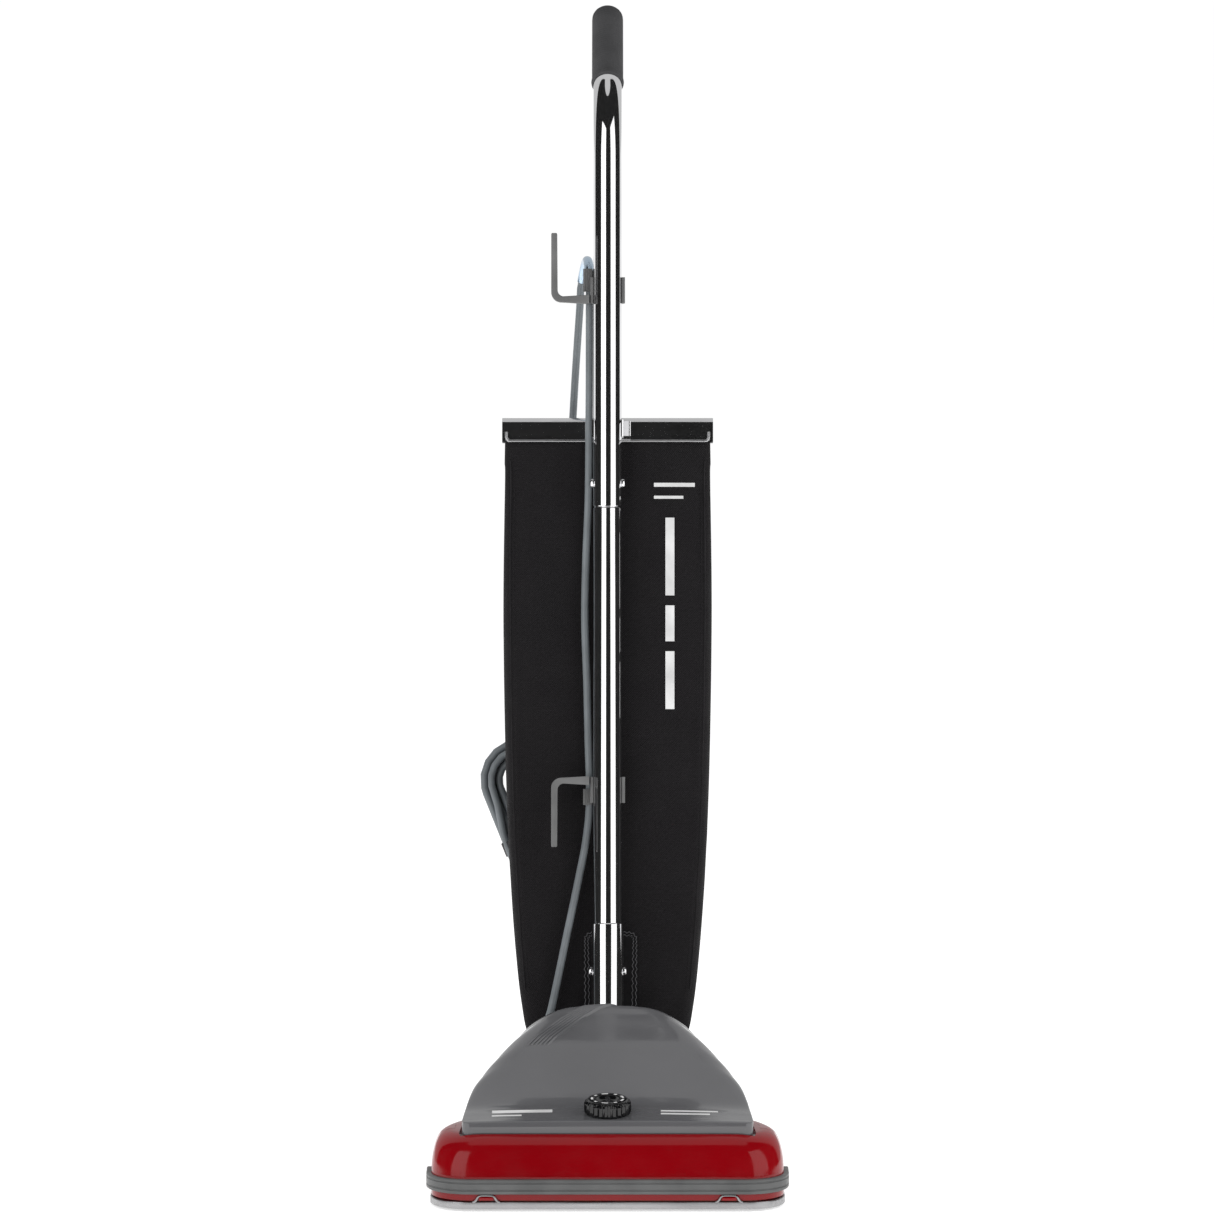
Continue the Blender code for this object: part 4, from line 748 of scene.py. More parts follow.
def hood_ribs():
    """Six low ribs that sweep over the hood's left shoulder to its crest."""
    ribs = []
    for k in range(6):
        start_x, end_x = -81.0 + 4.1 * k, -10.0 + 3.9 * k
        start_d, end_d = 149.0, 199.0 + 0.4 * k
        rings = []
        for t in np.linspace(0.0, 1.0, 40):
            x = start_x + (end_x - start_x) * t
            d = start_d + (end_d - start_d) * math.sin(0.5 * math.pi * t) ** 1.15
            fade = min(1.0, 8.0 * t, 5.0 * (1.0 - t)) ** 0.5
            width, rise = 1.05 * fade + 0.15, 3.2 * fade + 0.05
            ring = []
            for across, up in ((-1.0, -0.6), (-0.75, 0.45), (-0.3, 0.95), (0.3, 0.95), (0.75, 0.45),
                               (1.0, -0.6)):
                px, pd = x + across * width * 0.72, d - across * width * 0.72
                ring.append((px, pd, hood_height(px, pd) + up * rise))
            rings.append(ring)
        ribs.append(skin(rings))
    on_base("hood_ribs", together(*ribs), "grey_hood", angle=60.0)


def on_hood(x, d, lift=0.12):
    return (x, d, hood_height(x, d) + lift)


def hood_bar(left, right, front, back):
    """A thin printed bar lying on the hood."""
    columns, rows = 13, 3
    points = [on_hood(x, d) for d in np.linspace(front, back, rows + 1)
              for x in np.linspace(left, right, columns + 1)]
    return points, grid_faces(columns, rows)


def hood_marks():
    """Plain printed bars where a maker's words would be."""
    bars = [hood_bar(-113.0, -54.0, 61.0, 70.0), hood_bar(-113.0, -84.0, 51.0, 55.5),
            hood_bar(52.0, 108.0, 63.5, 68.0), hood_bar(52.0, 100.0, 55.0, 59.5)]
    piece("hood_print", together(*bars), BASE, PRINT_WHITE, "base", "grey_hood")


def bumper_path(offset, z):
    half, front, radius = HOUSING_HALF + offset, HOUSING_FRONT - offset, CORNER + offset
    right = [(x, front) for x in np.linspace(0.0, half - radius, 8, endpoint=False)]
    right += arc((half - radius, front + radius), radius, -90.0, 0.0, 25)
    right += [(half, d) for d in np.linspace(front + radius + 4.0, 69.5, 5)]
    return [(-x, d, z) for x, d in right[:0:-1]] + [(x, d, z) for x, d in right]


def bumper():
    """A soft strip with two rounded grooves; each profile point is (offset, z)."""
    out = BUMPER_HALF - HOUSING_HALF
    profile = [(0.2, 17.5)] + arc((out - 1.6, 19.1), 1.6, -90.0, 0.0, 5)
    for z in (21.6, 28.6):
        profile += [(out, z - 0.9)] + [(out - 0.9 * math.sin(a), z - 0.9 * math.cos(a))
                                       for a in np.radians([30, 60, 90, 120, 150])] + [(out, z + 0.9)]
    profile += arc((out - 1.6, 30.4), 1.6, 0.0, 90.0, 5) + [(0.2, 32.0)]
    lines = [bumper_path(*point) for point in profile]
    on_base("bumper", skin(list(zip(*lines))), "grey_rubber", ["bumper_strip"])


def nozzle_guard():
    """The pressed zinc sole plate, its suction windows and the two clip loops in front."""
    outline = [(-168.0, 92.0), (-172.0, 86.0), (-173.0, 40.0)]
    outline += arc((-137.0, 39.0), 36.0, 180.0, 270.0, 25)[1:]
    outline = outline + [(-x, d) for x, d in outline[::-1]]
    well = box((-153.5, 20.0, 5.4), (153.5, 76.0, 12.0))
    step = box((-200.0, 83.0, 0.0), (200.0, 100.0, 6.9))
    bars = [-152.0, -105.0, -45.0, 45.0, 105.0, 152.0]
    windows = [box((left + 1.5, 22.0, 0.0), (right - 1.5, 74.0, 20.0))
               for left, right in zip(bars[:-1], bars[1:])]
    on_base("sole_plate", prism(outline, 2.5, 9.8), "zinc_plate", ["nozzle_guard"], 1.1,
            [well, step] + windows)
    for side, word in SIDES:
        foot, half, top = 9.6, 8.8, 16.0
        path = [(-half - 4.5, foot), (-half - 2.2, foot + 0.7), (-half - 0.6, foot + 2.6),
                (-half + 0.4, top - 2.2), (-half + 2.4, top - 0.6), (-half + 5.0, top)]
        path += [(-x, z) for x, z in path[::-1]]
        path = [(GUARD_LOOP_X + x, 3.4, z) for x, z in smooth_flat(path)]
        strap = tube_rings(path, 1.15, 12)
        loop = [[(x, 3.4 + (d - 3.4) * 0.95, z) for x, d, z in ring] for ring in strap]
        on_base(f"guard_loop_{word}", mirrored(skin(loop), side), "zinc_plate", angle=60.0)


def smooth_flat(points, step=0.8):
    return [(p[0], p[1]) for p in smooth_route([(x, z, 0.0) for x, z in points], step)]


main_housing()
motor_hood()
bumper()
nozzle_guard()


# ---- knob, wheels, pedal and the small parts of the base -----------------------------------------

KNOB = BASE @ Matrix.Translation((0.0, KNOB_D, KNOB_Z)) @ Matrix.Rotation(KNOB_SLOPE, 4, "X")
KNOB_R = 23.0


def height_knob():
    """A fluted rim, a flat ring with dial marks, and a hollow with a finger bar."""
    flutes, steps = 26, 8
    outline = []
    for k in range(flutes * steps):
        turn = 2.0 * math.pi * k / (flutes * steps)
        radius = KNOB_R - 0.75 + 0.75 * math.cos(flutes * turn) ** 3
        outline.append((radius, turn))
    heights = [(0.9, -1.2), (1.3, -0.3), (2.2, 0.0), (10.6, -0.1), (12.0, -0.6), (12.9, -1.7)]
    rings = [[((r + inset) * math.cos(a), (r + inset) * math.sin(a), z) for r, a in outline]
             for z, inset in heights]
    for radius, z in ((20.4, 13.6), (19.4, 14.5), (18.4, 14.9), (11.8, 14.9), (10.9, 14.5), (9.6, 12.4),
                      (6.5, 10.8), (0.4, 10.4)):
        rings.append([(radius * math.cos(a), radius * math.sin(a), z) for _, a in outline])
    shaft = cylinder(4.6, -7.0, 2.0)
    cam = []
    for k in range(72):
        turn, radius = math.radians(k * 5.0), 14.0 + 9.0 * k / 72.0
        cam.append((radius * math.cos(turn), radius * math.sin(turn)))
    grip_bar = prism(superellipse(2.6, 9.0, 3.0, 40), 10.6, 14.2)
    piece("knob", together(skin(rings), shaft, prism(cam, -8.4, -5.9), grip_bar), KNOB,
                 LOOKS["knob_black"], "knob", "knob_black", ["height_knob"])
    marks = []
    for k in range(9):
        centre = math.radians(20.0 + 40.0 * k)
        half = math.radians(12.0 if k % 2 == 0 else 6.0)
        outline = [(16.4 * math.cos(a), 16.4 * math.sin(a))
                   for a in np.linspace(centre - half, centre + half, 6)]
        outline += [(14.2 * math.cos(a), 14.2 * math.sin(a))
                    for a in np.linspace(centre + half, centre - half, 6)]
        marks.append(prism(outline, 14.85, 15.0))
    piece("knob_dial_marks", together(*marks), KNOB, PRINT_WHITE, "knob", "knob_black")


def rear_wheels():
    """Solid rubber tyres with a shallow tread, on a pressed hub with spokes and a cap."""
    for side, word in SIDES:
        radius = REAR_WHEEL[2]
        groove = radius - 0.8
        profile = [(24.5, 100.6), (35.6, 100.0), (37.3, 101.2), (radius, 103.4)]
        for x in np.linspace(105.5, 116.5, 5):
            profile += [(radius, x - 0.8), (groove, x - 0.45), (groove, x + 0.45), (radius, x + 0.8)]
        profile += [(radius, 118.6), (37.3, 120.8), (35.6, 122.0), (24.5, 121.4), (24.5, 100.6)]
        tyre = mirrored(lathe(profile, 72, "X", REAR_WHEEL), side)
        body = f"rear_wheel_{word}"
        piece(f"{body}_tyre", tyre, BASE, LOOKS["wheel_tread"], body, "wheel_tread", [body])
        hub = [(AXLE_HOLE_R, 100.0), (9.5, 100.0), (10.5, 101.5), (10.8, 109.0), (22.5, 109.6),
               (23.4, 101.0), (24.45, 100.8), (24.45, 121.2), (23.4, 121.0), (22.5, 112.4),
               (10.8, 113.0), (10.5, 120.5), (9.5, 122.0), (AXLE_HOLE_R, 122.0), (AXLE_HOLE_R, 100.0)]
        parts = [lathe(hub, 64, "X", REAR_WHEEL)]
        for k in range(6):
            a = math.radians(60.0 * k + 15.0)
            rib = box((103.5, 10.0, -1.3), (118.5, 23.2, 1.3))
            c, s = math.cos(a), math.sin(a)
            turned = [(x, y * c - z * s, y * s + z * c) for x, y, z in rib[0]]
            parts.append(shift((turned, rib[1]), REAR_WHEEL))
        piece(f"{body}_hub", mirrored(together(*parts), side), BASE, LOOKS["black_moulding"], body,
              "wheel_tread")
        end = lathe([(4.0, 72.0), (4.0, 122.6), (6.6, 122.7), (6.2, 124.2), (4.4, 125.3), (0.3, 125.5)],
                    32, "X", REAR_WHEEL)
        on_base(f"{body}_axle", mirrored(end, side), "zinc_plate", [f"rear_axle_{word}"])


def front_wheels():
    for side, word in SIDES:
        profile = [(2.85, 58.0), (4.4, 58.0), (4.8, 59.0), (10.8, 59.0), (11.6, 58.0), (12.6, 59.2),
                   (13.0, 61.0), (13.0, 67.0), (12.6, 68.8), (11.6, 70.0), (10.8, 69.0), (4.8, 69.0),
                   (4.4, 70.0), (2.85, 70.0), (2.85, 58.0)]
        body = f"front_wheel_{word}"
        piece(f"{body}_tyre", mirrored(lathe(profile, 48, "X", FRONT_WHEEL), side), BASE,
              LOOKS["wheel_tread"], body, "wheel_tread", [body])


def bristle_tufts():
    """Rows of tufts along the two spirals of the roll."""
    for side, word in SIDES:
        tufts = []
        for x in np.arange(23.0, 141.0, 3.6):
            turn = math.radians(90.0 + side * (x - 22.0) * 2.6)
            out = Vector((0.0, math.cos(turn), math.sin(turn)))
            wide = Vector((0.0, -math.sin(turn), math.cos(turn)))
            middle = Vector((side * x, ROLL_D, ROLL_Z))
            rings = []
            for reach, spread_out in ((14.2, 1.5), (18.0, 1.7), (22.0, 2.2)):
                ring = []
                for a in np.radians(np.arange(0.0, 360.0, 60.0)):
                    ring.append(tuple(middle + out * reach + wide * spread_out * math.cos(a)
                                      + Vector((1.0, 0.0, 0.0)) * spread_out * math.sin(a)))
                rings.append(ring)
            tufts.append(skin(rings))
        piece(f"bristle_tufts_{word}", together(*tufts), BASE, LOOKS["bristle"], "roll", "bristle",
              [f"bristle_strip_{word}"])


def pedal_and_switch():
    """The handle release pedal with its ribbed tread, and the rocker of the foot switch."""
    side_view = [(-16.0, 3.5), (-16.0, 0.5), (-6.0, -2.5), (4.0, -4.5), (38.0, 0.0), (42.0, 3.0),
                 (38.0, 5.5), (6.0, 4.0), (-4.0, 4.5)]
    place = BASE @ Matrix.Translation(PEDAL_PIVOT)
    left, right, rib_inset = -88.0, -70.0, 1.5
    pedal = prism(side_view, left, right, "X", [circle(2.55, 24)])
    piece("pedal", pedal, place, LOOKS["black_moulding"], "pedal", "black_moulding", ["release_pedal"],
          round_edges=0.8)
    ribs = []
    for d in np.arange(13.0, 37.0, 3.2):
        height = 4.05 + (d - 6.0) * 1.5 / 32.0
        ribs.append(prism([(d - 0.7, height - 0.4), (d + 0.7, height - 0.4), (d + 0.4, height + 0.55),
                           (d - 0.4, height + 0.55)], left + rib_inset, right - rib_inset, "X"))
    piece("pedal_tread", together(*ribs), place, LOOKS["black_moulding"], "pedal", "black_moulding")
    outline = superellipse(7.6, 14.6, 8.0, 56)
    rings = [[(SWITCH_X + x * k, SWITCH_D + d * k, z) for x, d in outline]
             for z, k in ((57.0, 0.98), (58.0, 1.0), (67.4, 1.0), (68.5, 0.97), (69.0, 0.9),
                          (68.6, 0.6), (68.3, 0.1))]
    piece("foot_switch_button", skin(rings), BASE, LOOKS["switch_red"], "switch", "switch_red",
          ["switch_button"])


def rounded_cad_nodes():
    """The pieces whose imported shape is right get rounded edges."""
    for name, width in (("pedal_bracket", 0.35), ("switch_case", 0.8), ("pivot_yoke", 0.6),
                        ("front_carriage", 0.4), ("guard_latch_left", 0.4), ("guard_latch_right", 0.4),
                        ("bottom_cover", 0.4), ("fan_housing", 0.8), ("bearing_bridge", 0.5)):
        step = frame["nodes"][name].modifiers.new("round_edges", "BEVEL")
        step.width = width * MM
        step.segments = 2
        step.limit_method = "ANGLE"
        step.angle_limit = math.radians(40.0)


def pivot_pins():
    for side, word in SIDES:
        pin = lathe([(4.0, 43.5), (4.0, 63.5), (7.0, 63.6), (7.0, 65.0), (6.0, 66.2), (3.6, 67.2),
                     (0.3, 67.4)], 32, "X", PIVOT_CENTRE)
        on_base(f"pivot_rivet_{word}", mirrored(pin, side), "zinc_plate", [f"pivot_pin_{word}"])


height_knob()
rear_wheels()
front_wheels()
bristle_tufts()
pedal_and_switch()
rounded_cad_nodes()
pivot_pins()


# ---- handle: bail, tubes, grip, bolts, clips and hooks -------------------------------------------

def bend_point(turn):
    """The tube's middle line in its bend, after turning so many radians."""
    return (0.0, BEND_R * (1.0 - math.cos(turn)), BEND_START + BEND_R * math.sin(turn))


def grip_point(distance):
    _, back, up = bend_point(BEND_ANGLE)
    return (0.0, back + distance * math.sin(BEND_ANGLE), up + distance * math.cos(BEND_ANGLE))


def handle_bail():
    """The chromed fork that spans the tail, and the sleeve that the tube is bolted into."""
    arm_in, arm_out, rise = 55.0, 62.0, 46.0
    outer = ([(arm_out, 0.0), (arm_out, rise * 0.5), (arm_out, rise)]
             + arc((20.0, rise), 42.0, 4.0, 84.0, 22))
    inner = ([(arm_in, 0.0), (arm_in, rise * 0.5), (arm_in, rise)]
             + arc((20.0, rise), 35.0, 4.0, 84.0, 22))
    outer += [(-x, s) for x, s in outer[::-1]]
    inner += [(-x, s) for x, s in inner[::-1]]
    bosses, holes = [], []
    for side in (-1, 1):
        bosses.append(mirrored(cylinder(9.0, arm_in - 0.6, arm_out + 0.6, "X"), side))
        holes.append(mirrored(cylinder(PIN_HOLE_R, 50.0, 70.0, "X", count=32), side))
    on_handle("bail_fork", prism(outer + inner[::-1], -6.5, 6.5, "Y"), "chrome_tube", ["handle_bail"],
              1.3, holes, bosses)
    sleeve = [(TUBE_R + 0.15, 179.4), (SLEEVE_R - 0.7, 180.0), (SLEEVE_R, 179.2), (SLEEVE_R, 92.0),
              (SLEEVE_R + 1.4, 86.0), (SLEEVE_R + 1.4, 82.8), (TUBE_R + 0.15, 82.8),
              (TUBE_R + 0.15, 179.4)]
    on_handle("bail_sleeve", lathe(sleeve, 72), "chrome_tube")


def tubes():
    low = [(TUBE_R, 85.5), (TUBE_R, SEAM - 1.4), (TUBE_R - 0.5, SEAM - 0.5), (SWAGE_R, SEAM),
           (SWAGE_R, SWAGE_END), (SWAGE_BORE_R, SWAGE_END), (SWAGE_BORE_R, 590.0), (TUBE_BORE_R, 588.0),
           (TUBE_BORE_R, 85.5), (TUBE_R, 85.5)]
    on_handle("tube_lower", lathe(low, 72), "chrome_tube", ["lower_tube"])
    path = [(0.0, 0.0, SEAM + 0.35), (0.0, 0.0, SEAM + 1.1), (0.0, 0.0, SEAM + 1.6)]
    path += [(0.0, 0.0, up) for up in np.linspace(SEAM + 4.0, BEND_START - 6.0, 14)]
    path += [bend_point(turn) for turn in np.linspace(0.0, BEND_ANGLE, 26)]
    path += [grip_point(20.0), grip_point(GRIP_LENGTH - 8.0)]
    radii = [TUBE_R - 0.6] + [TUBE_R] * (len(path) - 1)
    outer, bore = tube_rings(path, radii, 72), tube_rings(path, TUBE_BORE_R, 72)
    on_handle("tube_upper", skin(outer + bore[::-1], closed=True), "chrome_tube", ["upper_tube"])


def hand_grip():
    """A vinyl sleeve with a rolled lip, fine rings and a domed end."""
    stations = [(0.2, 0.4), (0.0, 1.0), (0.8, 1.7), (2.6, 1.9), (4.4, 1.7), (5.6, 1.15)]
    stations += [(t, 1.0 + 0.16 * math.sin(t * 1.9)) for t in np.arange(6.4, GRIP_LENGTH - 10.0, 0.55)]
    outer = [(t, GRIP_R - 1.3 + h * 0.9) for t, h in stations]
    for turn in sweep(0.0, 84.0, 9):
        outer.append((GRIP_LENGTH - 9.5 + 9.3 * math.sin(turn), GRIP_R - 9.0 + 8.6 * math.cos(turn)))
    inside = [(0.2, TUBE_R + 0.1), (GRIP_LENGTH - 7.5, TUBE_R + 0.1)]
    rings = tube_rings([grip_point(t) for t, _ in outer], [r for _, r in outer], 56)
    hollow = tube_rings([grip_point(t) for t, _ in inside], [r for _, r in inside], 56)
    on_handle("grip", skin(hollow[::-1] + rings), "grip_vinyl", ["hand_grip"], angle=60.0)


def cross_bolts():
    for name, station, outside in (("lower_bolt", LOWER_BOLT, SLEEVE_R),
                                   ("upper_bolt", UPPER_BOLT, TUBE_R)):
        head = [(2.6, 0.0), (2.6, outside - 1.0), (4.7, outside + 0.2), (4.7, outside + 1.3),
                (4.0, outside + 2.6), (2.4, outside + 3.4), (0.2, outside + 3.6)]
        sides = [mirrored(lathe(head, 32, "X", (0.0, 0.0, station)), side) for side in (-1, 1)]
        on_handle(f"{name}_heads", together(*sides), "chrome_tube", [name])


HOOK_BACK, HOOK_REACH, HOOK_RISE, HOOK_THICK = -4.0, 53.2, 66.0, 6.4


def cord_clip(word, low, block_low, block_high):
    """A band round the back of the tube, with a slotted and ribbed block for the cord."""
    inside, outside = TUBE_R + 0.3, TUBE_R + 3.2
    outline = arc((0.0, 0.0), outside, -14.0, 194.0, 60) + arc((0.0, 0.0), inside, 194.0, -14.0, 60)
    block = prism([(-24.5, 2.5), (-15.6, 2.5), (-15.0, 5.5), (-12.2, 9.0), (-10.6, 12.5), (-14.0, 16.0),
                   (-24.5, 14.6)], block_low, block_high)
    slack = CORD_R + 1.2
    slot = [(CLIP_X - slack, CLIP_BACK), (CLIP_X - slack, 20.0), (CLIP_X + slack, 20.0),
            (CLIP_X + slack, CLIP_BACK)]
    seat = prism(circle(CORD_R + 0.35, 32, (CLIP_X, CLIP_BACK)), low - 60.0, low + 80.0)
    on_handle(f"clip_{word}", prism(outline, low, low + 26.0), "hook_plastic", [f"{word}_clip"], 0.5,
              [seat, prism(slot, low - 60.0, low + 80.0)], [block])
    ribs = [shift(box((-23.6, 1.7, block_low + 0.8), (-22.6, 2.9, block_high - 0.8)),
                  (1.9 * k, 0.0, 0.0)) for k in range(4)]
    on_handle(f"clip_{word}_ribs", together(*ribs), "hook_plastic", round_edges=0.25)


def cord_hook(word, station, way):
    """An L-shaped hook, thicker at its root; way is 1 up or -1 down."""
    half, outer, inner = HOOK_THICK / 2.0, 10.0, 6.4
    tip = -HOOK_REACH - half
    corner = (tip + outer, -half + outer)
    outline = [(-18.4, half * 1.3), (-18.4, -half * 1.45), (-22.0, -half * 1.45), (corner[0], -half)]
    outline += arc(corner, outer, 270.0, 180.0, 14)[1:]
    outline += [(tip, HOOK_RISE - 1.0), (tip + 0.6, HOOK_RISE), (tip + HOOK_THICK - 1.0, HOOK_RISE),
                (tip + HOOK_THICK - 0.4, HOOK_RISE - 1.0)]
    outline += arc((tip + HOOK_THICK + inner, half * 0.8 + inner), inner, 180.0, 262.0, 10)
    outline = [(x, z * way) for x, z in outline]
    place = HANDLE @ Matrix.Translation((0.0, HOOK_BACK, station))
    piece(f"hook_{word}", prism(outline, -6.0, 6.0, "Y"), place, LOOKS["hook_plastic"], f"hook_{word}",
          "hook_plastic", [f"{word}_hook"], 0.9)


def cord_guide():
    """The bluish zinc wire and the rolled zinc sheath in which the cord turns back."""
    turns = sweep(24.0, 160.0, 48)
    path = [guide_point(a, LOOP_R - CORD_R - 2.6) for a in turns]
    middle = [guide_point(a) for a in turns]
    on_handle("guide_wire", rod(path[5:-4], 1.6), "blue_zinc", ["cord_guide"])
    on_handle("guide_sheath", pipe(middle, CORD_R + 1.0, CORD_R + 0.3, 32), "blue_zinc")


def guide_point(turn, radius=LOOP_R):
    """A point after turning so many radians over the guide, drifting to the left on the way."""
    drift = GUIDE_DRIFT * (turn / math.pi) ** 2
    return (CLIP_X - drift, GUIDE_BACK - radius * math.cos(turn), GUIDE_UP + radius * math.sin(turn))


handle_bail()
tubes()
hand_grip()
cross_bolts()
cord_clip("lower", LOWER_CLIP, LOWER_CLIP - 2.0, LOWER_CLIP + 14.0)
cord_clip("upper", UPPER_CLIP, UPPER_CLIP + 12.0, UPPER_CLIP + 35.0)
cord_hook("lower", LOWER_CLIP + 22.0, -1)
cord_hook("upper", UPPER_CLIP + 4.0, 1)
cord_guide()


# ---- bag channel and hanger wire -----------------------------------------------------------------

CHANNEL_HALF, CHANNEL_LOW, CHANNEL_HIGH = 105.8, 661.5, 686.5
CHANNEL_FRONT, CHANNEL_REAR = 18.2, 41.5


def bag_channel():
    """The chrome channel that clamps the bag's top, with its lips and the bracket round the tube."""
    wall, lip = 1.2, 1.6
    middle, half = (CHANNEL_FRONT + CHANNEL_REAR) / 2.0, (CHANNEL_REAR - CHANNEL_FRONT) / 2.0
    crown, inner_crown = 6.0, 4.6
    shoulder = CHANNEL_HIGH - crown
    outer = [(CHANNEL_FRONT - 0.3, CHANNEL_LOW), (CHANNEL_FRONT - 0.5, CHANNEL_LOW + lip),
             (CHANNEL_FRONT, CHANNEL_LOW + 2.0 * lip), (CHANNEL_FRONT, shoulder)]
    outer += [(middle - half * math.cos(a), shoulder + crown * math.sin(a))
              for a in sweep(12.0, 168.0, 18)]
    outer += [(CHANNEL_REAR, shoulder), (CHANNEL_REAR, CHANNEL_LOW + 2.0 * lip),
              (CHANNEL_REAR + 0.5, CHANNEL_LOW + lip), (CHANNEL_REAR + 0.3, CHANNEL_LOW)]
    inner_half = half - wall
    inner = [(CHANNEL_REAR - wall, CHANNEL_LOW)]
    inner += [(middle + inner_half * math.cos(a), shoulder + inner_crown * math.sin(a))
              for a in sweep(0.0, 180.0, 20)]
    inner += [(CHANNEL_FRONT + wall, CHANNEL_LOW)]
    low, high = CHANNEL_LOW + 5.0, CHANNEL_HIGH - 3.0
    inside, outside = TUBE_R + 0.3, TUBE_R + 1.8
    band = arc((0.0, 0.0), outside, -10.0, 190.0, 60) + arc((0.0, 0.0), inside, 190.0, -10.0, 60)
    tab = [(12.0, 9.0), (23.0, 5.0), (23.0, CHANNEL_FRONT + 0.6), (-8.0, CHANNEL_FRONT + 0.6),
           (-8.0, 15.0), (4.0, 15.0)]
    tube_way = cylinder(inside, low - 5.0, high + 5.0)
    on_handle("channel", prism(outer + inner, -CHANNEL_HALF, CHANNEL_HALF, "X"), "chrome_channel",
              ["bag_channel"], 0.3, [tube_way],
              [prism(band, low, high), prism(tab, low + 1.0, high - 1.0)], angle=14.0)
    back, up, half = 16.3, CHANNEL_LOW + 1.5, 97.0
    right = [(half - 20.0, back, up), (half, back, up), (half + 3.0, back, up + 1.0),
             (half + 4.5, back, up + 4.0), (half + 4.5, back, up + 9.0)]
    path = smooth_route([(-x, b, s) for x, b, s in right[::-1]] + right, 1.2)
    on_handle("hanger_wire", rod(path, 1.4, 16), "zinc_plate", ["bag_wire"])


# ---- dust bag ------------------------------------------------------------------------------------
# Each level of the bag and its neck: up the handle, half width, depth, middle line, squareness.

BAG_FRONT, COLLAR_BACK, BAG_TOP = 20.0, 44.0, 676.0
BAG_LEVELS = [(4.0, 24.0, 48.0, 44.0, 2.0), (14.0, 26.0, 50.0, 44.6, 2.0),
              (40.0, 58.0, 50.0, 45.8, 2.3), (66.0, 80.0, 52.0, 46.6, 2.9),
              (96.0, 87.5, 54.0, 47.2, 3.6), (150.0, 93.0, 59.0, 49.8, 4.2),
              (250.0, 99.5, 59.5, 50.0, 4.6), (350.0, 102.8, 59.5, 50.0, 4.8),
              (450.0, 104.4, 56.0, 48.4, 4.8), (545.0, 105.0, 48.0, 44.4, 4.4),
              (620.0, 104.0, 34.0, 37.4, 3.6), (658.0, 103.2, 19.8, 30.0, 3.0),
              (BAG_TOP, 103.0, 18.6, 29.4, 3.0)]
BAG_ROUND, BAG_RISE = 208, 210
BAG_CLOTH_THICK = 1.4
# How far each layer stands in front of the bag's plain surface
PRINT_LIFT, PATCH_LIFT, ZIGZAG_LIFT = 0.7, 1.2, 1.95


def bag_ring(up, half, depth, middle, power):
    """One level of the bag, with even steps along its outline, and its pleats and folds."""
    angles = np.linspace(0.0, 2.0 * math.pi, 1441)
    c, s = np.cos(angles), np.sin(angles)
    x = half * np.sign(c) * np.abs(c) ** (2.0 / power)
    back = depth / 2.0 * np.sign(s) * np.abs(s) ** (2.0 / power)
    walked = np.concatenate([[0.0], np.cumsum(np.hypot(np.diff(x), np.diff(back)))])
    steps = np.linspace(0.0, walked[-1], BAG_ROUND, endpoint=False)
    x, back = np.interp(steps, walked, x), np.interp(steps, walked, back)
    gathered = math.exp(-((BAG_TOP - up) / 70.0) ** 2)
    funnel = math.exp(-((up - 70.0) / 75.0) ** 2)
    tuck = 0.0
    if 60.0 < up < 640.0:
        tuck = math.sin(math.pi * (up - 60.0) / 580.0) ** 0.5
    ring = []
    for px, pb in zip(x, back):
        face = min(1.0, abs(pb) / (depth / 2.0)) ** 8
        wave = 0.5 * math.sin(px * 0.21 + 0.8) + 0.3 * math.sin(px * 0.47 + up * 0.012)
        fold = gathered * 1.1 * wave + funnel * 1.5 * math.sin(px * 0.16 + 1.1 * math.sin(up * 0.03))
        crease = math.exp(-((abs(px) - (half - 17.0)) / 3.2) ** 2)
        inward = face * (fold - 1.5 * tuck * crease)
        slack = 0.9 * math.sin(up * 0.023 + px * 0.012) * face * tuck
        side_tuck = (1.0 - face) * 4.2 * tuck * math.exp(-(pb / (0.18 * depth)) ** 2)
        outwards = -0.8 if pb < 0.0 else 0.8
        ring.append((px - math.copysign(side_tuck, px), middle + pb + (inward + slack) * outwards, up))
    return ring


def bag_shape():
    stations = [level[0] for level in BAG_LEVELS]
    rings = []
    for up in np.linspace(stations[0], BAG_TOP - 0.2, BAG_RISE):
        values = [smooth_value(stations, [level[k] for level in BAG_LEVELS], up) for k in (1, 2, 3, 4)]
        rings.append(bag_ring(up, *values))
    return rings


def inflate(thing, held, pressure, cap):
    """Swell a closed mesh by cloth simulation; held gives the vertices that stay still."""
    group = thing.vertex_groups.new(name="held")
    group.add(held, 1.0, "REPLACE")
    rest = np.array([v.co for v in thing.data.vertices])
    cloth = thing.modifiers.new("cloth", "CLOTH")
    cloth.settings.quality = 6
    cloth.settings.mass = 0.25
    cloth.settings.tension_stiffness = 40.0
    cloth.settings.compression_stiffness = 40.0
    cloth.settings.shear_stiffness = 20.0
    cloth.settings.bending_stiffness = 1.2
    cloth.settings.use_pressure = True
    cloth.settings.uniform_pressure_force = pressure
    cloth.settings.vertex_group_mass = "held"
    cloth.settings.effector_weights.gravity = 0.0
    for number in range(1, 19):
        bpy.context.scene.frame_set(number)
    settle(thing)
    swollen = np.array([v.co for v in thing.data.vertices])
    step = swollen - rest
    size = np.maximum(np.linalg.norm(step, axis=1), 1e-9)
    step *= np.minimum(1.0, cap * MM / size)[:, None]
    thing.data.vertices.foreach_set("co", (rest + step).ravel().astype(np.float32))
    thing.data.update()
    bpy.context.scene.frame_set(1)


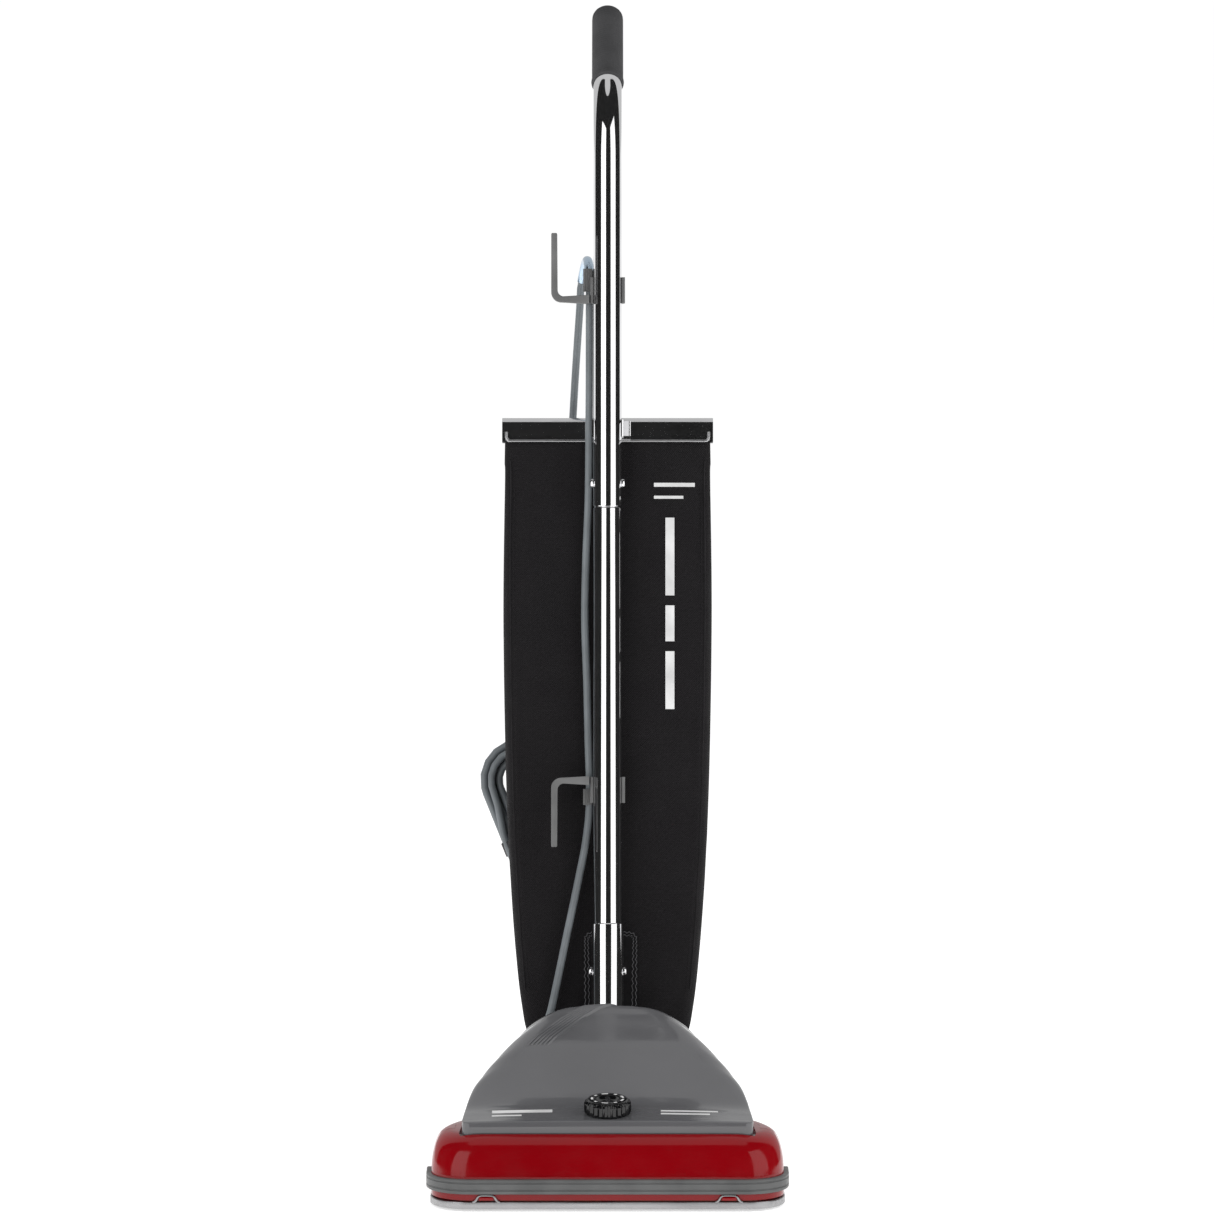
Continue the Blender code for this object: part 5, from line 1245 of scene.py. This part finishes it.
def lay_out_cloth(thing, rings):
    """A flat layout in metres round and up the bag, which the weave follows."""
    layer = thing.data.uv_layers.new(name="cloth")
    around = [0.0]
    middle = rings[len(rings) // 2]
    for a, b in zip(middle, middle[1:] + middle[:1]):
        around.append(around[-1] + math.dist(a, b) * MM)
    for face in thing.data.polygons:
        columns = [thing.data.vertices[i].index % BAG_ROUND for i in face.vertices]
        wraps = max(columns) - min(columns) > BAG_ROUND // 2
        for loop in face.loop_indices:
            index = thing.data.loops[loop].vertex_index
            column, row = index % BAG_ROUND, index // BAG_ROUND
            column += BAG_ROUND if wraps and column < BAG_ROUND // 2 else 0
            layer.data[loop].uv = (around[column], rings[min(row, len(rings) - 1)][0][2] * MM)


def bag_surface(rings, x, up, face=-1):
    """The bag's front (-1) or rear face at x, as its back coordinate."""
    row = min(range(len(rings)), key=lambda k: abs(rings[k][0][2] - up))
    middle = sum(p[1] for p in rings[row]) / BAG_ROUND
    near = [p for p in rings[row] if (p[1] - middle) * face > 0.0]
    near.sort(key=lambda p: abs(p[0] - x))
    a, b = near[0], near[1]
    share = 0.0 if abs(b[0] - a[0]) < 0.01 else min(1.0, abs(x - a[0]) / abs(b[0] - a[0]))
    return a[1] + (b[1] - a[1]) * share


def stitches(rings, path, length=3.2, gap=1.6, radius=0.42):
    """Short threads laid along a path of (x, up) points on the bag's front."""
    line = [Vector((x, up)) for x, up in path]
    threads, walked, due = [], 0.0, 0.0
    for a, b in zip(line, line[1:]):
        span = (b - a).length
        while due < walked + span:
            here = a + (b - a) * ((due - walked) / span)
            there = here + (b - a).normalized() * length
            points = []
            for t, lift in ((0.0, -0.1), (0.5, 0.45), (1.0, -0.1)):
                x, up = here.lerp(there, t)
                points.append((x, bag_surface(rings, x, up) - 0.4 - lift, up))
            threads.append(rod(points, radius, 6))
            due += length + gap
        walked += span
    return threads


def bag_patch(rings):
    """The reinforcing patch low on the bag's front, with its double row of zigzag stitching."""
    half, low, high, corner, offset = 27.5, 96.0, 172.0, 9.0, 3.0
    columns, rows = 24, 30
    points = []
    for j in range(rows + 1):
        up = low + (high - low) * j / rows
        drop = max(0.0, up - (high - corner))
        reach = half - corner + math.sqrt(max(0.0, corner ** 2 - drop ** 2))
        for i in range(columns + 1):
            x = offset + reach * (2.0 * i / columns - 1.0)
            points.append((x, bag_surface(rings, x, up) - PATCH_LIFT, up))
    patch = solid_object("bag_patch", (points, grid_faces(columns, rows)), HANDLE)
    thicken(patch, 1.0, 0.0)
    smooth(patch, 50.0)
    patch.data.materials.append(PATCH_CLOTH)
    threads = []
    for inset in (2.2, 6.0):
        zigzag, turn_r = [], corner - inset * 0.8
        edge = [(half - inset, low)] + arc((half - corner, high - corner), turn_r, 0.0, 90.0, 6)
        edge += arc((-half + corner, high - corner), turn_r, 90.0, 180.0, 6)
        edge += [(-half + inset, low)]
        route = smooth_route([(x + offset, up, 0.0) for x, up in edge], 3.0)
        for k, (x, up, _) in enumerate(route):
            side = 0.9 if k % 2 else -0.9
            middle = Vector((offset, 0.5 * (low + high)))
            away = (Vector((x, up)) - middle).normalized()
            zigzag.append((x + away.x * side, up + away.y * side))
        points = [(x, bag_surface(rings, x, up) - ZIGZAG_LIFT, up) for x, up in zigzag]
        threads.append(rod(points, 0.38, 6))
    sewn = piece("patch_stitches", together(*threads), HANDLE, THREAD, None, "bag_cloth", angle=60.0)
    return [patch, sewn]


def bag_seams(rings):
    """The sewn edge along each front corner."""
    parts = []
    for side in (-1, 1):
        ridge = []
        for ring in rings[34:-8:3]:
            half = max(p[0] for p in ring)
            x = side * (half - 6.0)
            ridge.append((x, bag_surface(rings, x, ring[0][2]) - 0.35, ring[0][2]))
        parts.append(rod(ridge, 0.9, 8))
        parts += stitches(rings, [(x - side * 3.6, up) for x, _, up in ridge[::4]])
    return piece("bag_seams", together(*parts), HANDLE, BLACK_THREAD, None, "bag_cloth", angle=60.0)


def printed_bar(rings, left, right, low, high):
    columns, rows = max(2, round((right - left) / 4.0)), max(2, round((high - low) / 4.0))
    points = []
    for j in range(rows + 1):
        for i in range(columns + 1):
            x, up = left + (right - left) * i / columns, low + (high - low) * j / rows
            points.append((x, bag_surface(rings, x, up) - PRINT_LIFT, up))
    return points, grid_faces(columns, rows)


def bag_print(rings):
    """Plain bars in place of printed words."""
    bars = [printed_bar(rings, 46.5, 87.5, 617.0, 621.0), printed_bar(rings, 46.5, 76.0, 605.0, 608.0)]
    for low, high in ((394.0, 452.0), (462.0, 498.0), (508.0, 586.0)):
        bars.append(printed_bar(rings, 58.0, 67.0, low, high))
    bars = solid_object("bag_print", together(*bars), HANDLE)
    bars.data.materials.append(PRINT_WHITE)
    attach(bars, "handle")


def dust_bag():
    rings = bag_shape()
    points = [p for ring in rings for p in ring]
    faces = skin(rings, caps=False)[1]
    bag = solid_object("bag", (points, faces), HANDLE)
    lay_out_cloth(bag, rings)
    held = [i for i, p in enumerate(points) if p[2] < 18.0 or p[2] > 640.0 or (p[1] < BAG_FRONT + 3.0)]
    inflate(bag, held, 1.2, 4.0)
    thicken(bag, BAG_CLOTH_THICK, -1.0)
    bag.data.shade_smooth()
    bag.data.materials.append(LOOKS["bag_cloth"])
    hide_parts("dust_bag", "bag_neck")
    for thing in [bag, bag_seams(rings), *bag_patch(rings)]:
        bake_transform(thing)
    bag_print(rings)


bag_channel()
dust_bag()


# ---- power cord ----------------------------------------------------------------------------------
# The listed points are (x, back, up) in the parked handle's frame, as the CAD has them.

# The cord's tube comes out about 1.5% shorter than its declared length.
CORD_START = (-75.5, 3.5, 19.0)
LOWER_ROUTE = [CORD_START, (-75.2, 3.6, 36.0), (-71.5, 4.4, 54.0), (-65.0, 5.4, 72.0),
               (-57.4, 6.2, 90.0), (-49.0, 7.0, 128.0)]
RISER_ROUTE = [(-42.0, 7.4, 162.0), (-34.8, 7.8, 196.0), (-28.0, 8.0, 229.0), (-23.0, 8.0, 254.0),
               (-19.4, 8.0, 280.0), (CLIP_X, 8.0, 300.0), (CLIP_X, 8.0, 326.0), (-19.4, 8.4, 362.0),
               (-20.8, 8.8, 423.0), (-22.8, 9.0, 483.0), (-21.7, 9.0, 543.0), (-19.3, 9.0, 604.0),
               (-18.6, 9.2, 675.0), (-18.3, 8.4, 720.0), (CLIP_X, 8.0, 774.0), (CLIP_X, 8.0, 800.0),
               (CLIP_X, 8.0, 812.0)]
DROP_ROUTE = [(-28.0, 68.4, 800.0), (-31.3, 76.0, 752.0), (-34.5, 84.0, 700.0), (-40.0, 98.0, 600.0),
              (-46.0, 112.0, 500.0), (-52.0, 121.0, 440.0), (-56.0, 126.0, 394.0),
              (-55.0, 127.8, 361.0)]
HANK_TOP, HANK_TILT, HANK_RUN = (-87.0, 323.0), math.radians(22.0), 114.0
HANK_PITCH, HANK_FIRST_BACK, HANK_LAYERS = 7.6, 89.8, 6
HANK_RADII = [38.2, 30.6, 23.0]
PLUG_BACK = 109.0


def guide_turn(count):
    """The cord's half turn over the guide, from the clip to the drop behind."""
    return [guide_point(a) for a in sweep(8.0, 172.0, count)]


def hank_point(down_run, across, back):
    """A point in the hank: down its tilted run, across it to the right, and back."""
    c, s = math.cos(HANK_TILT), math.sin(HANK_TILT)
    return (HANK_TOP[0] + down_run * s + across * c, back, HANK_TOP[1] - down_run * c + across * s)


def ease(t):
    t = min(1.0, max(0.0, t))
    return t * t * (3.0 - 2.0 * t)


def hank_turns():
    """The winding: down on the right and up on the left, one layer deep after another.

    A column of turns is wound through the layers; then the cord moves in to the next column.
    It changes layer or column on the straight runs, in an order that keeps turns apart."""
    points = []
    layer, column = HANK_LAYERS - 1, 0
    way = -1
    finished = False
    while not finished:
        last_layer = 0 if way < 0 else HANK_LAYERS - 1
        # the run down on the right
        to_layer, to_column = layer, column
        if column == 0 and points:
            to_layer = layer - 1
        elif column == 1 and layer == last_layer:
            to_column = 2
            way = -way
        elif column == 2 and layer != last_layer:
            to_layer = layer + way
        points += hank_run(layer, column, to_layer, to_column, True, late=to_column != column)
        layer, column = to_layer, to_column
        last_layer = 0 if way < 0 else HANK_LAYERS - 1
        finished = column == 2 and layer == last_layer
        points += hank_fold(layer, column, 10.0, HANK_RUN)
        if finished:
            break
        # the run up on the left
        to_layer, to_column = layer, column
        if column == 0 and layer == 0:
            to_column = 1
            way = 1
        elif column == 1 and layer != last_layer:
            to_layer = layer + way
        points += hank_run(layer, column, to_layer, to_column, False, late=to_column != column)
        layer, column = to_layer, to_column
        points += hank_fold(layer, column, 190.0, 0.0)
    return points


def hank_fold(layer, column, start, down_run):
    """The fold at one end of the hank, from start in degrees to 160 degrees further."""
    radius, back = HANK_RADII[column], HANK_FIRST_BACK + HANK_PITCH * layer
    return [hank_point(down_run + radius * math.sin(a), radius * math.cos(a), back)
            for a in sweep(start, start + 160.0, 9)]


def hank_run(layer, column, to_layer, to_column, downwards, late):
    """One straight run; a change of layer or column takes half of it."""
    points = []
    for t in np.linspace(0.0, 1.0, 9):
        share = ease(2.0 * t - 1.0) if late else ease(2.0 * t)
        radius = HANK_RADII[column] + (HANK_RADII[to_column] - HANK_RADII[column]) * share
        back = HANK_FIRST_BACK + HANK_PITCH * (layer + (to_layer - layer) * share)
        down_run = HANK_RUN * (t if downwards else 1.0 - t)
        points.append(hank_point(down_run, radius if downwards else -radius, back))
    return points


def into_the_plug():
    """From the innermost turn's left run into the hollow: two arcs that meet, then straight up."""
    start_across, start_back = -HANK_RADII[2], HANK_FIRST_BACK
    span, plug_back = 50.0, PLUG_BACK
    points = []
    for t in np.linspace(0.0, 1.0, 11):
        share = 2.0 * t * t if t < 0.5 else 1.0 - 2.0 * (1.0 - t) ** 2
        points.append(hank_point(HANK_RUN - span * t, start_across * (1.0 - share),
                                 start_back + (plug_back - start_back) * share))
    return points + [hank_point(HANK_RUN - span - 6.0, 0.0, plug_back)]


def cord_path():
    route = smooth_route(LOWER_ROUTE + RISER_ROUTE, 5.0) + guide_turn(30)
    route += smooth_route(DROP_ROUTE, 8.0)
    return route + hank_turns() + into_the_plug()


def power_plug():
    """A moulded plug with finger ribs, a ribbed strain relief, and two flat blades."""
    x, back, up = hank_point(0.0, 0.0, PLUG_BACK)
    place = HANDLE @ Matrix.Translation((x, back, up)) @ Matrix.Rotation(-HANK_TILT, 4, "Y")
    profile = [(3.95, -62.0), (4.6, -61.4)]
    for z in np.arange(-59.5, -47.0, 3.0):
        profile += [(4.9 + (z + 60.0) * 0.1, z - 0.9), (5.6 + (z + 60.0) * 0.1, z - 0.3),
                    (5.6 + (z + 60.0) * 0.1, z + 0.9), (4.9 + (z + 60.0) * 0.1, z + 1.5)]
    profile += [(6.4, -46.0), (10.6, -43.0), (11.8, -41.5)]
    for z in np.arange(-38.0, -12.0, 4.0):
        profile += [(12.5, z - 1.4), (13.4, z - 0.8), (13.4, z + 0.8), (12.5, z + 1.4)]
    profile += [(13.0, -9.0), (13.4, -6.0), (13.4, -4.0), (12.6, -1.6), (12.0, -1.0), (0.3, -1.0)]
    body = piece("plug_body", lathe(profile, 48), place, LOOKS["plug_black"], "handle", "plug_black",
                 ["power_plug"], angle=50.0)
    blades = []
    for side in (-1, 1):
        outline = [(-3.2, -1.6), (3.2, -1.6), (3.2, 10.0), (2.0, 12.0), (-2.0, 12.0), (-3.2, 10.0)]
        hole = circle(1.4, 16, (0.0, 8.2))
        blades.append(prism(outline, side * 6.3 - 0.75, side * 6.3 + 0.75, "X", [hole]))
    pins = piece("plug_blades", together(*blades), place, LOOKS["zinc_plate"], "handle", "plug_black",
                 round_edges=0.15)
    return [body, pins]


def cord_tie():
    """A soft strap round the hank's middle."""
    top, foot, soft = 52.0, 67.0, 0.6
    half, reach = HANK_RADII[0] + CORD_R + 1.1, 1.1 + CORD_R
    front, rear = HANK_FIRST_BACK - reach, HANK_FIRST_BACK + HANK_PITCH * (HANK_LAYERS - 1) + reach
    middle, depth = (front + rear) / 2.0, (rear - front) / 2.0
    outline = superellipse(half, depth, 7.0, 72)
    rings = []
    for down_run, out in ((top, -0.5), (top + soft, 0.5), (foot - soft, 0.5), (foot, -0.5),
                          (foot - soft, -1.1), (top + soft, -1.1)):
        rings.append([hank_point(down_run, x * (1.0 + out / half), middle + b * (1.0 + out / depth))
                      for x, b in outline])
    piece("cord_tie", skin(rings, closed=True), HANDLE, LOOKS["wheel_tread"], "handle", "cord_jacket",
          angle=50.0)


def power_cord():
    """The whole cord as one tube, from where it leaves the base, up the handle and round the hank to the plug."""
    path = cord_path()
    far_pieces = power_plug()
    cord = solid_object("cord", rod(path, CORD_R, 14), HANDLE)
    cord.data.shade_smooth()
    cord.data.materials.append(LOOKS["cord_jacket"])
    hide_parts("cord_lower", "cord_riser", "cord_hank")
    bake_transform(cord)
    cord_tie()


def strain_relief():
    """The tapered sleeve by which the cord leaves the housing, with bending ribs moulded round it."""
    x, back, _ = CORD_START
    profile = [(8.0, -9.5), (8.0, -5.4), (7.6, -5.0), (6.9, -4.6)]
    for k in range(7):
        z, r = -3.6 + 3.0 * k, 6.6 - 0.19 * k
        profile += [(r, z - 0.5), (r, z + 1.0), (r - 0.8, z + 1.3), (r - 0.8, z + 2.2)]
    profile += [(5.1, 17.6), (4.9, 18.5), (CORD_R + 0.15, 18.5), (CORD_R + 0.15, -9.5), (8.0, -9.5)]
    piece("strain_sleeve", lathe(profile, 40, at=(x, back, 0.0)), HANDLE, LOOKS["plug_black"], "base",
          "cord_jacket", ["cord_strain_relief"])


power_cord()
strain_relief()
